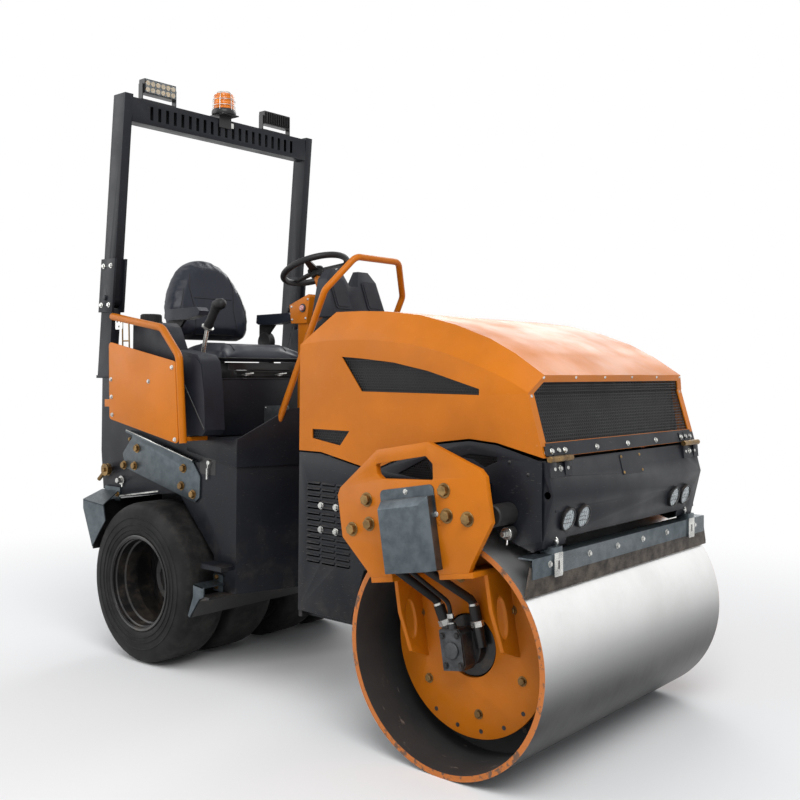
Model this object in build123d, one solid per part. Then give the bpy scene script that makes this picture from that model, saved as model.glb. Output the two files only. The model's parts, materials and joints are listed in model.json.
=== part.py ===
from build123d import *
import math
import os

# Articulated combination roller: a smooth steel drum in front and four smooth tyres behind.
# Millimetres. +X is forward, +Y is the driver's left, +Z is up, z = 0 is the ground.
# The origin is on the ground at the middle of the machine's length and width.

# Running gear
DRUM_D = 720.0
DRUM_W = 1180.0
DRUM_WALL = 17.0
DRUM_DISC_INSET = 234.0
DRUM_DISC_T = 16.0
WHEELBASE = 1624.0
TYRE_D = 650.0
TYRE_W = 222.0
TYRE_SHOULDER = 22.0
PAIR_GAP = 36.0
MID_GAP = 92.0
RIM_R = 187.0
RIM_T = 8.0
WHEEL_DISC_T = 12.0
HUB_R = 62.0
AXLE_R = 34.0
HANGER_T = 20.0

# Overall width of the sheet-metal skins, and how far the rear reaches behind its axle
SKIN_W = 1018.0
REAR_W = 806.0
REAR_OVERHANG = 490.0
REAR_PANEL = 452.0
SHEET = 4.0
PLATE = 8.0

# Steering pivot, half way between the axles
PIVOT_Z = 500.0
PIN_R = 30.0
KNUCKLE_R = 58.0
KNUCKLE_H = 170.0
TRUNNION_R = 45.0
TRUNNION_WALL = 28.0
LUG_T = 25.0
LUG_W = 160.0
LUG_WEB = 90.0

# Clearances
PIN_CLEAR = 0.3
SEAT_CLEAR = 0.3
RUN_CLEAR = 5.0
WELL_CLEAR = 15.0

# Fork that carries the drum, turned up at the front by a few degrees about the drum's axis
FORK_TILT = 10.0
FORK_T = 20.0
FORK_CLEAR = 22.0
FORK_TOP = 626.0
FORK_FOOT = 240.0
FORK_HALF = 291.0
FORK_TOP_HALF = 101.0
FORK_FOOT_HALF = 190.0
FORK_MID = -14.0
FOOT_T = 16.0
CARRIER_R = 280.0
CARRIER_T = 16.0
CARRIER_INSET = 144.0
HUB_HOLE_R = 97.0
MOUNT_R = 205.0
MOUNT_PAD_R = 34.0
GUSSET_HALF = 175.0
GUSSET_T = 14.0
HOSE_R = 13.0
THIN_HOSE_R = 7.0
HOSE_OUT = 26.0
HOSE_LEDGE = 400.0
COVER_LOW = 251.0
COVER_TOP = 480.0
COVER_DEPTH = 58.0

# Hood, bumper and deck: x is measured from the drum's axis
HOOD_FRONT = 303.0
HOOD_BACK = -694.0
HOOD_CHAMFER = 54.0
HOOD_FRONT_Z = 950.0
HOOD_FRONT_LEAN = 0.294
VISOR_Z = 1137.0
VISOR_LEAN = 0.4
GRILLE_LOW = 997.0
GRILLE_HALF = 478.0
HOOD_HINGE_X = 316.0
HOOD_HINGE_Z = 952.0
HINGE_Y = 440.0
HINGE_W = 44.0
HINGE_PIN_R = 5.0
HINGE_BARREL_R = 9.0
PANEL_FRONT = -385.0
DECK_Z = 880.0
DECK_T = 12.0
RAIL_Z = 780.0
RAIL_T = 30.0
RAIL_INSET = 39.0
BULKHEAD_FOOT = 345.0
ENGINE_TOP = 1236.0
BUMPER_INSET = 15.0
LAMP_R = 36.0
LAMP_Z = 773.0
TIE_DOWN_X = 309.0
TIE_DOWN_Z = 850.0
TIE_DOWN_R = 11.0

# Drum scraper
BLADE_PAST = 7.0
CHANNEL_SHORT = 25.0
BLADE_FOOT = 574.0
BLADE_TOP = 655.0
BLADE_GAP = 9.0
BLADE_T = 6.0
CLAMP_Y = 449.0
CLAMP_HALF = 22.0

# Rear body: x is measured from the rear axle
REAR_FRONT_X = 473.0
REAR_V = 0.313
FLOOR_Z = 930.0
RIM_TOP = 1047.0
RIM_BEND_Y = 192.0
RIM_PLATE = 6.0
CREASE_Z = 821.0
BELLY_Z = 332.0
WELL_TOP_GAP = 42.0
PANEL_FOOT = 834.0
REAR_EYE_Y = 300.0
REAR_EYE_Z = 872.0
REAR_EYE_R = 13.0
BOX_TOP = 1158.0
BOX_FRONT_X = 294.0
TANK_FOOT = 940.0
TANK_TOP = 1390.0
TANK_CAP_R = 44.0
GUARD_T = 5.0
RAIL_R = 15.0

# Driver's place
SEAT_HALF = 235.0
SEAT_PAN_Z = 1196.0
SEAT_PAN_T = 32.0
SLIDE_HALF = 190.0
CUSHION_TOP = 1300.0
ARMREST_T = 54.0
ARMREST_W = 51.0
ARMREST_Z = 1408.0
WHEEL_R = 150.0
WHEEL_GRIP_R = 13.0
WHEEL_X = 486.0
WHEEL_TILT = 22.0
WHEEL_HUB_LOW = 33.0
COLUMN_R = 16.0
COLUMN_HALF = 52.0
COLUMN_TOP = 1392.0
WHEEL_RISE = 228.0
CONSOLE_HALF = 150.0
CONSOLE_H = 192.0
CONSOLE_BELOW = 18.0
HOOP_R = 13.0
HOOP_HALF = 229.0
HOOP_TOP_HALF = 126.0
HOOP_ABOVE = 18.0
HOOP_TOP_H = 132.0
HOOP_LEAN = 0.49

# Safety frame
POST_OUT = 543.0
POST_W = 40.0
POST_D = 82.0
POST_TOP = 2350.0
POST_TOP_X = -1718.0
POST_LEAN = 4.6
BEAM_H = 104.0
BEAM_D = 60.0
BEAM_WALL = 4.0
FOLD_Z = 1496.0
STUB_TOP = 1449.0
FOOT_PLATE_T = 12.0
FOLD_PLATE_T = 10.0
FOLD_PLATE_LOW = 1436.0
FOLD_PLATE_HIGH = 1660.0
FOLD_PIN_R = 11.0

# Places that follow from the sizes above
DRUM_R = DRUM_D / 2
BLADE_HALF = DRUM_W / 2 + BLADE_PAST
SCRAPER_HALF = BLADE_HALF - CHANNEL_SHORT
TYRE_R = TYRE_D / 2
LENGTH = DRUM_R + WHEELBASE + REAR_OVERHANG
DRUM_X = LENGTH / 2 - DRUM_R
AXLE_X = DRUM_X - WHEELBASE
PIVOT_X = (DRUM_X + AXLE_X) / 2
BACK_X = AXLE_X - REAR_PANEL
SKIN_Y = SKIN_W / 2
REAR_Y = REAR_W / 2
HOOD_TOP_Y = SKIN_Y - HOOD_CHAMFER
RAIL_OUT = SKIN_Y - RAIL_INSET
RAIL_IN = RAIL_OUT - RAIL_T
BUMPER_Y = SKIN_Y - BUMPER_INSET
FORK_IN = DRUM_W / 2 + FORK_CLEAR
FORK_OUT = FORK_IN + FORK_T
DISC_Y = DRUM_W / 2 - DRUM_DISC_INSET
CARRIER_Y = DRUM_W / 2 - CARRIER_INSET
FRONT_X = AXLE_X + REAR_FRONT_X
APEX_X = FRONT_X + REAR_V * REAR_Y
WELL_R = TYRE_R + WELL_CLEAR
WELL_TOP = TYRE_D + WELL_TOP_GAP
POST_IN = POST_OUT - POST_W
TANK_IN = REAR_Y + SEAT_CLEAR
TANK_OUT = POST_IN - RUN_CLEAR
GUARD_Y = POST_OUT + POST_W / 3
CUSHION_Z = SEAT_PAN_Z + SEAT_PAN_T + SEAT_CLEAR
WHEEL_Z = COLUMN_TOP + WHEEL_RISE
CONSOLE_TOP = WHEEL_Z - CONSOLE_BELOW
CONSOLE_FOOT = CONSOLE_TOP - CONSOLE_H
HOOP_TOP_Z = WHEEL_Z + HOOP_ABOVE
HOOP_BEND_Z = HOOP_TOP_Z - HOOP_TOP_H
INNER_TYRE_Y = MID_GAP / 2 + TYRE_W / 2
OUTER_TYRE_Y = INNER_TYRE_Y + TYRE_W + PAIR_GAP
TYRES_Y = OUTER_TYRE_Y + TYRE_W / 2
HANGER_Y = (INNER_TYRE_Y + OUTER_TYRE_Y) / 2
BLADE_X = math.sqrt(DRUM_R ** 2 - (BLADE_FOOT - DRUM_R) ** 2) + BLADE_GAP


def prism_y(points, low, high, radius=0.0):
    """Prism along Y of an outline given as (x, z) points."""
    return prism([(x, low, z) for x, z in points], (0, 1, 0), high - low, radius)


def prism_x(points, low, high, radius=0.0):
    """Prism along X of an outline given as (y, z) points."""
    return prism([(low, y, z) for y, z in points], (1, 0, 0), high - low, radius)


def prism_z(points, low, high, radius=0.0):
    """Prism along Z of an outline given as (x, y) points."""
    return prism([(x, y, low) for x, y in points], (0, 0, 1), high - low, radius)


def rounded(points, radius, closed):
    """Edges along a path whose corners are arcs, smaller where a run is short."""
    spots = [Vector(*point) for point in points]
    count = len(spots)
    corners = []
    for index in range(0 if closed else 1, count if closed else count - 1):
        here = spots[index]
        back, ahead = spots[index - 1] - here, spots[(index + 1) % count] - here
        half = math.radians(back.get_angle(ahead)) / 2
        reach = min(radius / math.tan(half), 0.45 * min(back.length, ahead.length))
        back, ahead = back.normalized(), ahead.normalized()
        size = reach * math.tan(half)
        middle = here + (back + ahead).normalized() * (size / math.sin(half) - size)
        corners.append((here + back * reach, middle, here + ahead * reach))
    edges = []
    last = corners[-1][2] if closed else spots[0]
    for start, middle, end in corners:
        edges.append(Edge.make_line(last, start))
        edges.append(Edge.make_three_point_arc(start, middle, end))
        last = end
    if not closed:
        edges.append(Edge.make_line(last, spots[-1]))
    return edges


def prism(points, way, length, radius):
    """Closed outline, with rounded corners if a radius is given, pushed along a direction."""
    if radius > 0:
        edges = rounded(points, radius, True)
    else:
        edges = Polyline(*points, close=True).edges()
    return extrude(make_face(edges), amount=length, dir=way)


def block(x0, x1, y0, y1, z0, z1):
    """Box between two corners."""
    return Pos((x0 + x1) / 2, (y0 + y1) / 2, (z0 + z1) / 2) * Box(x1 - x0, y1 - y0, z1 - z0)


def rod(start, end, radius):
    """Round bar between two points."""
    way = Vector(*end) - Vector(*start)
    low = (Align.CENTER, Align.CENTER, Align.MIN)
    return Plane(origin=start, z_dir=way) * Cylinder(radius, way.length, align=low)


def rod_y(x, z, low, high, radius):
    """Round bar along Y."""
    return rod((x, low, z), (x, high, z), radius)


def ring_y(x, z, low, high, outer, inner):
    """Tube along Y."""
    return rod_y(x, z, low, high, outer) - rod_y(x, z, low - 1, high + 1, inner)


def tube(points, radius, bend):
    """Round bar bent along a path with arcs at its corners."""
    path = Wire(rounded(points, bend, False))
    return sweep(Plane(origin=path @ 0, z_dir=path % 0) * Circle(radius), path=path)


def group(*shapes):
    """One compound of all the solids in several shapes."""
    solids = []
    for shape in shapes:
        solids.extend(shape.solids())
    return Compound(solids)


def left(shape):
    """The same shape on the driver's left."""
    return mirror(shape, about=Plane.XZ)


def both(shape):
    """A right-hand shape and its left-hand twin."""
    return group(shape, left(shape))


def forked(shape):
    """Move a shape drawn about the drum's axis to its tilted place on the fork."""
    return Pos(DRUM_X, 0, DRUM_R) * Rot(0, -FORK_TILT, 0) * shape


def fx(offset):
    """Station measured forward from the drum's axis."""
    return DRUM_X + offset


def ax(offset):
    """Station measured forward from the rear axle."""
    return AXLE_X + offset


def wall_x(y):
    """Outer face of the rear body's V-shaped front at a distance from the middle."""
    return FRONT_X + REAR_V * (REAR_Y - abs(y))


# Drum

def drum():
    """Steel shell with a disc set in from each end, bored for the hub journal."""
    half = DRUM_W / 2
    shell = ring_y(DRUM_X, DRUM_R, -half, half, DRUM_R, DRUM_R - DRUM_WALL)
    for side in (-1, 1):
        low, high = sorted((side * (DISC_Y - DRUM_DISC_T), side * DISC_Y))
        shell += ring_y(DRUM_X, DRUM_R, low, high, DRUM_R - DRUM_WALL + 1, HUB_R + PIN_CLEAR)
    return shell


# Fork and drum carriers

def fork_plate():
    """Right fork plate: an eight-sided plate with a window, a hose notch and a hose ledge."""
    shoulder, waist = FORK_TOP - 122, FORK_TOP - 254
    right_edge = [
        (FORK_TOP_HALF, FORK_TOP), (FORK_HALF - 15, FORK_TOP - 100), (FORK_HALF, shoulder),
        (FORK_HALF, waist), (FORK_FOOT_HALF + 13, FORK_FOOT + 22), (FORK_FOOT_HALF, FORK_FOOT),
    ]
    outline = [(FORK_MID + u, w) for u, w in right_edge]
    outline += [(FORK_MID - u, w) for u, w in reversed(right_edge)]
    plate = prism_y(outline, -FORK_OUT, -FORK_IN)
    window = [(-128, 584), (74, 586), (96, 560), (90, 512), (-110, 536), (-126, 552)]
    notch = [(-116, FORK_FOOT - 1), (66, FORK_FOOT - 1), (66, FORK_FOOT + 74), (-116, FORK_FOOT + 74)]
    plate -= prism_y(window, -FORK_OUT - 1, -FORK_IN + 1, 8)
    plate -= prism_y(notch, -FORK_OUT - 1, -FORK_IN + 1)
    ledge_y = -FORK_OUT - HOSE_OUT - HOSE_R
    plate += block(-110, 62, ledge_y, -FORK_OUT + 1, HOSE_LEDGE, HOSE_LEDGE + PLATE)
    return forked(plate)


def drum_carrier():
    """Right carrier: foot plate under the fork, two gussets and the mounting disc."""
    foot_low = FORK_FOOT - FOOT_T
    foot_back, foot_front = FORK_MID - FORK_FOOT_HALF, FORK_MID + FORK_FOOT_HALF + 14
    foot = block(foot_back, foot_front, -FORK_OUT, -CARRIER_Y, foot_low, FORK_FOOT)
    foot -= block(-116, 66, -FORK_OUT - 1, -CARRIER_Y - 30, foot_low - 4, FORK_FOOT + 4)
    disc = ring_y(0, 0, -CARRIER_Y, -CARRIER_Y + CARRIER_T, CARRIER_R, HUB_HOLE_R)
    gusset = [
        (-CARRIER_Y, foot_low), (-CARRIER_Y - 106, foot_low),
        (-CARRIER_Y - 106, foot_low - 104), (-CARRIER_Y - 77, -4), (-CARRIER_Y, -34),
    ]
    hole = Plane(origin=(0, -CARRIER_Y - 62, 92), x_dir=(0, 1, 0), z_dir=(1, 0, 0)) * Ellipse(25, 62)
    carrier = foot + disc
    for side in (-1, 1):
        low = side * GUSSET_HALF - GUSSET_T / 2
        web = prism_x(gusset, low, low + GUSSET_T)
        web -= Pos(low - 1, 0, 0) * extrude(hole, amount=GUSSET_T + 2, dir=(1, 0, 0))
        carrier += web
    return forked(carrier)


def motor_ports():
    """Hose ports of the right motor: root, mouth and radius, about the drum's axis."""
    face = -CARRIER_Y
    return [
        (Vector(-38, face - 46, 50), Vector(-46, face - 52, 92), HOSE_R + 4),
        (Vector(60, face - 18, 0), Vector(58, face - 24, 82), HOSE_R + 4),
    ]


def drum_motor():
    """Right drive motor: flange plate on six rubber mounts, journal, body and two ports."""
    mount_end = CARRIER_Y - CARRIER_T
    flange = DISC_Y + RUN_CLEAR + 5
    flange_back = flange + 12
    motor = rod_y(0, 0, -flange_back, -flange, CARRIER_R - 30)
    motor += rod_y(0, 0, -flange, -DISC_Y + DRUM_DISC_T, HUB_R)
    for step in range(6):
        angle = math.radians(60 * step - 30)
        u, w = MOUNT_R * math.cos(angle), MOUNT_R * math.sin(angle)
        motor += rod_y(u, w, -mount_end, -flange_back, MOUNT_PAD_R)
    motor += rod_y(0, 0, -CARRIER_Y + 6, -flange_back, HUB_HOLE_R - RUN_CLEAR)
    motor += rod_y(0, 0, -CARRIER_Y - 24, -CARRIER_Y + 6, 58)
    cap = [(-52, -62), (20, -62), (32, -46), (32, 46), (20, 62), (-52, 62)]
    motor += prism_y(cap, -CARRIER_Y - 72, -CARRIER_Y - 20)
    for root, mouth, radius in motor_ports():
        motor += rod(tuple(root), tuple(mouth), radius)
    return forked(motor)


def motor_hoses():
    """Right motor hoses: up through the foot's opening and out to the ledge on the fork plate."""
    out_y = -FORK_OUT - HOSE_OUT
    end = HOSE_LEDGE - SEAT_CLEAR
    hoses = []
    for (root, mouth, radius), u in zip(motor_ports(), (-80, 28)):
        way = (mouth - root).normalized()
        start, rise = mouth + way * SEAT_CLEAR, mouth + way * 56
        route = [tuple(start), tuple(rise), (u, out_y, 268), (u, out_y, end)]
        hoses.append(tube(route, HOSE_R, 40))
    thin_y = -CARRIER_Y - 60
    route = [(-12, thin_y, 62 + SEAT_CLEAR), (-12, thin_y, 140), (-26, out_y, 262), (-26, out_y, end)]
    hoses.append(tube(route, THIN_HOSE_R, 40))
    return forked(group(*hoses))


def hose_cover():
    """Right hose cover: folded galvanised sheet, open behind and below, with its rim."""
    low, high = -120, 82
    face = -FORK_OUT
    side = [(face, COVER_LOW), (face - COVER_DEPTH, COVER_LOW), (face - COVER_DEPTH + 10, COVER_TOP - 10),
            (face, COVER_TOP)]
    inner = [
        (face + 1, COVER_LOW - 1), (face - COVER_DEPTH + SHEET, COVER_LOW - 1),
        (face - COVER_DEPTH + 10 + SHEET, COVER_TOP - 10 - SHEET), (face + 1, COVER_TOP - SHEET),
    ]
    cover = prism_x(side, low, high) - prism_x(inner, low + SHEET, high - SHEET)
    lip_low, lip = COVER_LOW + 160, 8
    rim = [
        (low - lip, lip_low), (low + 2, lip_low), (low + 2, COVER_TOP - 2), (high - 2, COVER_TOP - 2),
        (high - 2, lip_low), (high + lip, lip_low), (high + lip, COVER_TOP + 3 * lip),
        (low - lip, COVER_TOP + 3 * lip),
    ]
    cover += prism_y(rim, face - SHEET, face)
    return forked(cover)


# Front chassis

def fork_arms():
    """Blocks from the rails to each fork plate: x from, x to, z from, z to."""
    return [(-290, -190, RAIL_Z - 4, RAIL_Z + 72), (20, 120, RAIL_Z + 10, RAIL_Z + 86)]


def front_chassis():
    """Deck, rails, bulkhead, fork arms and the lugs with the steering pin."""
    back = fx(HOOD_BACK)
    bulk = back + PLATE * 2
    nose = fx(HOOD_FRONT - 30)
    rail = [
        (back, BULKHEAD_FOOT), (fx(-452), BULKHEAD_FOOT), (fx(-430), 560), (fx(-400), 700),
        (fx(-340), RAIL_Z), (nose, RAIL_Z), (nose, DECK_Z), (back, DECK_Z),
    ]
    frame = block(back, nose, -RAIL_OUT, RAIL_OUT, DECK_Z, DECK_Z + DECK_T)
    frame += block(back, bulk, -SKIN_Y + SHEET, SKIN_Y - SHEET, BULKHEAD_FOOT, DECK_Z)
    frame += block(nose - DECK_T, nose, -RAIL_OUT, RAIL_OUT, RAIL_Z, DECK_Z)
    web = prism_y(rail, -RAIL_OUT, -RAIL_IN)
    for low, high, foot, top in fork_arms():
        web += block(fx(low), fx(high), -FORK_IN, -RAIL_OUT, foot, top)
    frame += web + left(web)
    for side in (-1, 1):
        face = PIVOT_Z + side * (KNUCKLE_H / 2 + RUN_CLEAR)
        low, high = sorted((face, face + side * LUG_T))
        frame += block(PIVOT_X, back, -LUG_W / 2, LUG_W / 2, low, high)
        frame += rod((PIVOT_X, 0, low), (PIVOT_X, 0, high), LUG_W / 2)
    top_face = PIVOT_Z + KNUCKLE_H / 2 + RUN_CLEAR + LUG_T
    frame += block(PIVOT_X + KNUCKLE_R, back, -PLATE, PLATE, top_face, top_face + LUG_WEB)
    reach = KNUCKLE_H / 2 + RUN_CLEAR + LUG_T + 8
    frame += rod((PIVOT_X, 0, PIVOT_Z - reach), (PIVOT_X, 0, PIVOT_Z + reach), PIN_R)
    return frame


def engine_block():
    """Engine as one plain block on the deck."""
    return block(fx(-480), fx(120), -260, 260, DECK_Z + DECK_T, ENGINE_TOP)


def lower_side_panel():
    """Right lower panel beside the bulkhead, with its louvres cut through."""
    outline = [
        (fx(HOOD_BACK), BULKHEAD_FOOT + 22), (fx(-444), BULKHEAD_FOOT + 22), (fx(PANEL_FRONT), 545),
        (fx(PANEL_FRONT), DECK_Z - 8),
        (fx(-403), DECK_Z), (fx(-588), DECK_Z + 35), (fx(HOOD_BACK), DECK_Z + 35),
    ]
    panel = prism_y(outline, -SKIN_Y, -SKIN_Y + SHEET)
    slot_half, slot_h, first, pitch = 30, 8, 809, 20.4
    for column in (-620, -549, -480):
        for row in range(14):
            low = first - row * pitch - slot_h / 2
            back, front = fx(column - slot_half), fx(column + slot_half)
            panel -= block(back, front, -SKIN_Y - 1, -SKIN_Y + SHEET + 1, low, low + slot_h)
    return panel


def fender():
    """Right inner fender: follows the drum between the lower panel and the bumper."""
    arch = DRUM_R + 42
    outline = [
        (fx(PANEL_FRONT), DECK_Z - 8), (fx(-330), DECK_Z - 2), (fx(-100), 972), (fx(40), 991),
        (fx(140), 984), (fx(296), 944), (fx(296), 718), (fx(PANEL_FRONT), 545),
    ]
    windows = [
        [(-239, 873), (-189, 866), (-95, 857), (-120, 932)],
        [(4, 943), (46, 953), (140, 949), (143, 936), (97, 916), (52, 938)],
    ]
    low_y, high_y = -SKIN_Y, -SKIN_Y + SHEET
    panel = prism_y(outline, low_y, high_y)
    panel -= rod_y(DRUM_X, DRUM_R, low_y - 1, high_y + 1, arch)
    for low, high, foot, top in fork_arms():
        panel -= block(fx(low - 3), fx(high + 3), low_y - 1, high_y + 1, foot - 3, top + 3)
    for window in windows:
        panel -= prism_y([(fx(x), z) for x, z in window], low_y - 1, high_y + 1)
    return panel


def bumper_lamps(radius):
    """Four discs square to the lamp face."""
    slope = math.radians(13.5)
    way = Vector(math.cos(slope), 0, -math.sin(slope))
    discs = []
    for y in (-396, -308, 308, 396):
        middle = Vector(fx(310.5), y, LAMP_Z)
        discs.append(rod(tuple(middle + way * -2), tuple(middle + way * 14), radius))
    return discs


def front_bumper():
    """Folded nose: sloping top, lamp face, and two lamp pods that hang lower."""
    skin = [(303, 947), (328, 850), (291, 696), (284, 696), (321, 850), (296, 945)]
    nose = prism_y([(fx(x), z) for x, z in skin], -BUMPER_Y, BUMPER_Y)
    nose -= block(fx(200), fx(340), -373, 373, 690, 717)
    cheek = [(303, 947), (328, 850), (291, 696), (260, 683), (195, 703), (165, 715), (165, 760),
             (276, 800), (276, 947)]
    shelf = [(291, 696), (260, 683), (195, 703), (195, 709), (260, 689), (287, 701)]
    for side in (-1, 1):
        low, high = sorted((side * BUMPER_Y, side * (BUMPER_Y + 6)))
        nose += prism_y([(fx(x), z) for x, z in cheek], low, high)
        low, high = sorted((side * 380, side * BUMPER_Y))
        nose += prism_y([(fx(x), z) for x, z in shelf], low, high)
    nose += block(fx(HOOD_FRONT - 30), fx(318), -RAIL_OUT, RAIL_OUT, RAIL_Z + 20, RAIL_Z + 32)
    for disc in bumper_lamps(LAMP_R + SEAT_CLEAR):
        nose -= disc
    leaf = [(302, 940), (313, 900), (319, 901.5), (HOOD_HINGE_X, HOOD_HINGE_Z - 8), (308, 946)]
    inner_end = HINGE_W / 2 + 2
    outer_end = inner_end + 0.8 * HINGE_W
    for y in (-HINGE_Y, HINGE_Y):
        for low, high in ((y - outer_end, y - inner_end), (y + inner_end, y + outer_end)):
            nose += prism_y([(fx(x), z) for x, z in leaf], low, high)
            nose += rod_y(fx(HOOD_HINGE_X), HOOD_HINGE_Z, low, high, HINGE_BARREL_R)
        nose += rod_y(fx(HOOD_HINGE_X), HOOD_HINGE_Z, y - outer_end, y + outer_end, HINGE_PIN_R)
    tie_y = BUMPER_Y + 7
    nose -= rod_y(fx(TIE_DOWN_X), TIE_DOWN_Z, -tie_y, -BUMPER_Y, TIE_DOWN_R)
    nose -= rod_y(fx(TIE_DOWN_X), TIE_DOWN_Z, BUMPER_Y, tie_y, TIE_DOWN_R)
    return nose


def headlamps():
    """Four round lamps let into the lamp face."""
    return group(*bumper_lamps(LAMP_R))


def drum_scraper():
    """Galvanised channel with a steel blade, hung under the bumper by two clamps."""
    slope = BLADE_HALF - 22
    blade = [
        (-slope, BLADE_TOP), (-BLADE_HALF, BLADE_FOOT + 12), (-BLADE_HALF, BLADE_FOOT),
        (BLADE_HALF, BLADE_FOOT), (BLADE_HALF, BLADE_FOOT + 12), (slope, BLADE_TOP),
    ]
    scraper = prism_x(blade, fx(BLADE_X), fx(BLADE_X + BLADE_T))
    face, web = BLADE_X + BLADE_T, 5
    top = BLADE_TOP + 25
    scraper += block(fx(face), fx(face + web), -SCRAPER_HALF, SCRAPER_HALF, BLADE_TOP - 33, top)
    scraper += block(fx(BLADE_X - 40), fx(face + web), -SCRAPER_HALF, SCRAPER_HALF, top - web, top)
    bumper = front_bumper()
    for side in (-1, 1):
        low, high = side * CLAMP_Y - CLAMP_HALF, side * CLAMP_Y + CLAMP_HALF
        scraper += block(fx(face + web), fx(face + web + 6), low, high, BLADE_TOP - 37, top + 20)
        scraper += block(fx(BLADE_X - 30), fx(face + web + 6), low, high, top, top + 20) - bumper
    return scraper - bumper


# Hood

# Stations along the hood: x from the drum's axis, height of the lower crease, height of the upper crease
HOOD_STATIONS = [
    (HOOD_BACK, 1288, 1401), (-572, 1300, 1401), (-451, 1303, 1401), (-339, 1300, 1396),
    (-193, 1285, 1379), (-55, 1257, 1346), (76, 1215, 1301), (169, 1180, 1255), (320, 1105, 1160),
]


def hood_front_x(z):
    """Hood's front face at a height: it leans back up to the visor, which leans forward."""
    fold = HOOD_FRONT - HOOD_FRONT_LEAN * (min(z, VISOR_Z) - HOOD_FRONT_Z)
    return fold + VISOR_LEAN * max(0.0, z - VISOR_Z)


def hood_solid(inset):
    """Closed hood body, drawn in by a distance on every side but the underside."""
    half, top = SKIN_Y - inset, HOOD_TOP_Y - inset * 0.6
    foot = DECK_Z - 10
    sections = []
    for x, crease, crown in HOOD_STATIONS:
        station = fx(x + inset) if x == HOOD_BACK else fx(x)
        side, roof = crease - inset * 0.5, crown - inset
        points = [(-half, foot), (half, foot), (half, side), (top, roof), (-top, roof), (-half, side)]
        sections.append(make_face(Polyline(*[(station, y, z) for y, z in points], close=True).edges()))
    body = loft(sections, ruled=True)
    wide, high, beyond = SKIN_Y + 10, 1450, fx(400)
    crease_z, crown_z = HOOD_STATIONS[0][1:]
    rise = (HOOD_STATIONS[1][0] - HOOD_BACK) / (crown_z - crease_z)
    low_z, back = crease_z - 1.4 * inset, fx(HOOD_BACK - 20)
    rear = [(back, low_z - 20), (fx(HOOD_BACK), low_z),
            (fx(HOOD_BACK + rise * (high - crease_z)), high - 1.4 * inset), (back, high)]
    front = [(fx(hood_front_x(z) - inset), z) for z in (foot - 5, VISOR_Z, high)]
    body -= prism_y(rear, -wide, wide)
    return body - prism_y([(beyond, foot - 5)] + front + [(beyond, high)], -wide, wide)


def hood_shell():
    """Hood skin with its side windows, front grille opening and arch over the fork."""
    shell = hood_solid(0) - hood_solid(SHEET)
    out = SKIN_Y + 1
    foot = [
        (fx(HOOD_BACK - 20), 860), (fx(HOOD_BACK - 20), 921), (fx(-588), 921), (fx(-403), 886),
        (fx(-330), 884), (fx(-100), 979), (fx(40), 998), (fx(140), 991), (fx(340), 947), (fx(340), 860),
    ]
    shell -= prism_y(foot, -out, out)
    window = [(-494, 1246), (-402, 1131), (75, 1130), (75, 1148), (12, 1165), (-122, 1201),
              (-264, 1227), (-403, 1240)]
    vent = [(-630, 998), (-455, 998), (-498, 947), (-630, 966)]
    for outline in (window, vent):
        shell -= prism_y([(fx(x), z) for x, z in outline], -out, out)
    shell -= prism_x(grille_outline(0), fx(200), fx(330))
    leaf = [(fx(hood_front_x(z) + 5), z) for z in (986, 962)]
    leaf += [(fx(HOOD_HINGE_X - 2), HOOD_HINGE_Z + 6), (fx(HOOD_HINGE_X - 8), HOOD_HINGE_Z)]
    leaf += [(fx(hood_front_x(z) - 2), z) for z in (962, 986)]
    for y in (-HINGE_Y, HINGE_Y):
        low, high = y - HINGE_W / 2, y + HINGE_W / 2
        shell += prism_y(leaf, low, high)
        shell += rod_y(fx(HOOD_HINGE_X), HOOD_HINGE_Z, low, high, HINGE_BARREL_R)
        shell -= rod_y(fx(HOOD_HINGE_X), HOOD_HINGE_Z, low - 1, high + 1, HINGE_PIN_R + PIN_CLEAR)
    return shell


def grille_outline(wider):
    """Front grille's outline as (y, z), grown by a margin."""
    half, top = GRILLE_HALF + wider, VISOR_Z + 3
    right_edge = [(half, GRILLE_LOW - wider), (half, top), (half - 31, top + 31)]
    return right_edge + [(-y, z) for y, z in reversed(right_edge)]


def hood_meshes():
    """Sheets behind the side windows and the front grille."""
    inner, thick = SKIN_Y - SHEET - SEAT_CLEAR, 2
    window = [(-500, 1252), (-410, 1125), (85, 1125), (85, 1152), (-260, 1234), (-400, 1250)]
    vent = [(-636, 1004), (-448, 1004), (-494, 940), (-636, 960)]
    sheets = []
    for outline in (window, vent):
        sheets.append(both(prism_y([(fx(x), z) for x, z in outline], -inner, -inner + thick)))
    heights = (GRILLE_LOW - 12, VISOR_Z, VISOR_Z + 33)
    front = [(fx(hood_front_x(z) - SHEET - 3 * SEAT_CLEAR), z) for z in heights]
    behind = [(x - thick, z) for x, z in reversed(front)]
    wide = GRILLE_HALF + 10
    sheets.append(prism_y(front + behind, -wide, wide) & prism_x(grille_outline(10), fx(200), fx(330)))
    return group(*sheets)


# Steering knuckle

def knuckle():
    """Hub on the steering pin with a trunnion that lets the rear body roll."""
    low, high = PIVOT_Z - KNUCKLE_H / 2, PIVOT_Z + KNUCKLE_H / 2
    centre = (PIVOT_X, 0, PIVOT_Z)
    body = rod((PIVOT_X, 0, low), (PIVOT_X, 0, high), KNUCKLE_R)
    body += rod(centre, (APEX_X - 60, 0, PIVOT_Z), TRUNNION_R)
    body += rod(centre, (APEX_X + 65, 0, PIVOT_Z), TRUNNION_R + 14)
    body += rod((APEX_X - 60, 0, PIVOT_Z), (APEX_X - 90, 0, PIVOT_Z), TRUNNION_R + 16)
    return body - rod((PIVOT_X, 0, low - 1), (PIVOT_X, 0, high + 1), PIN_R + PIN_CLEAR)


# Rear body

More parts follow.
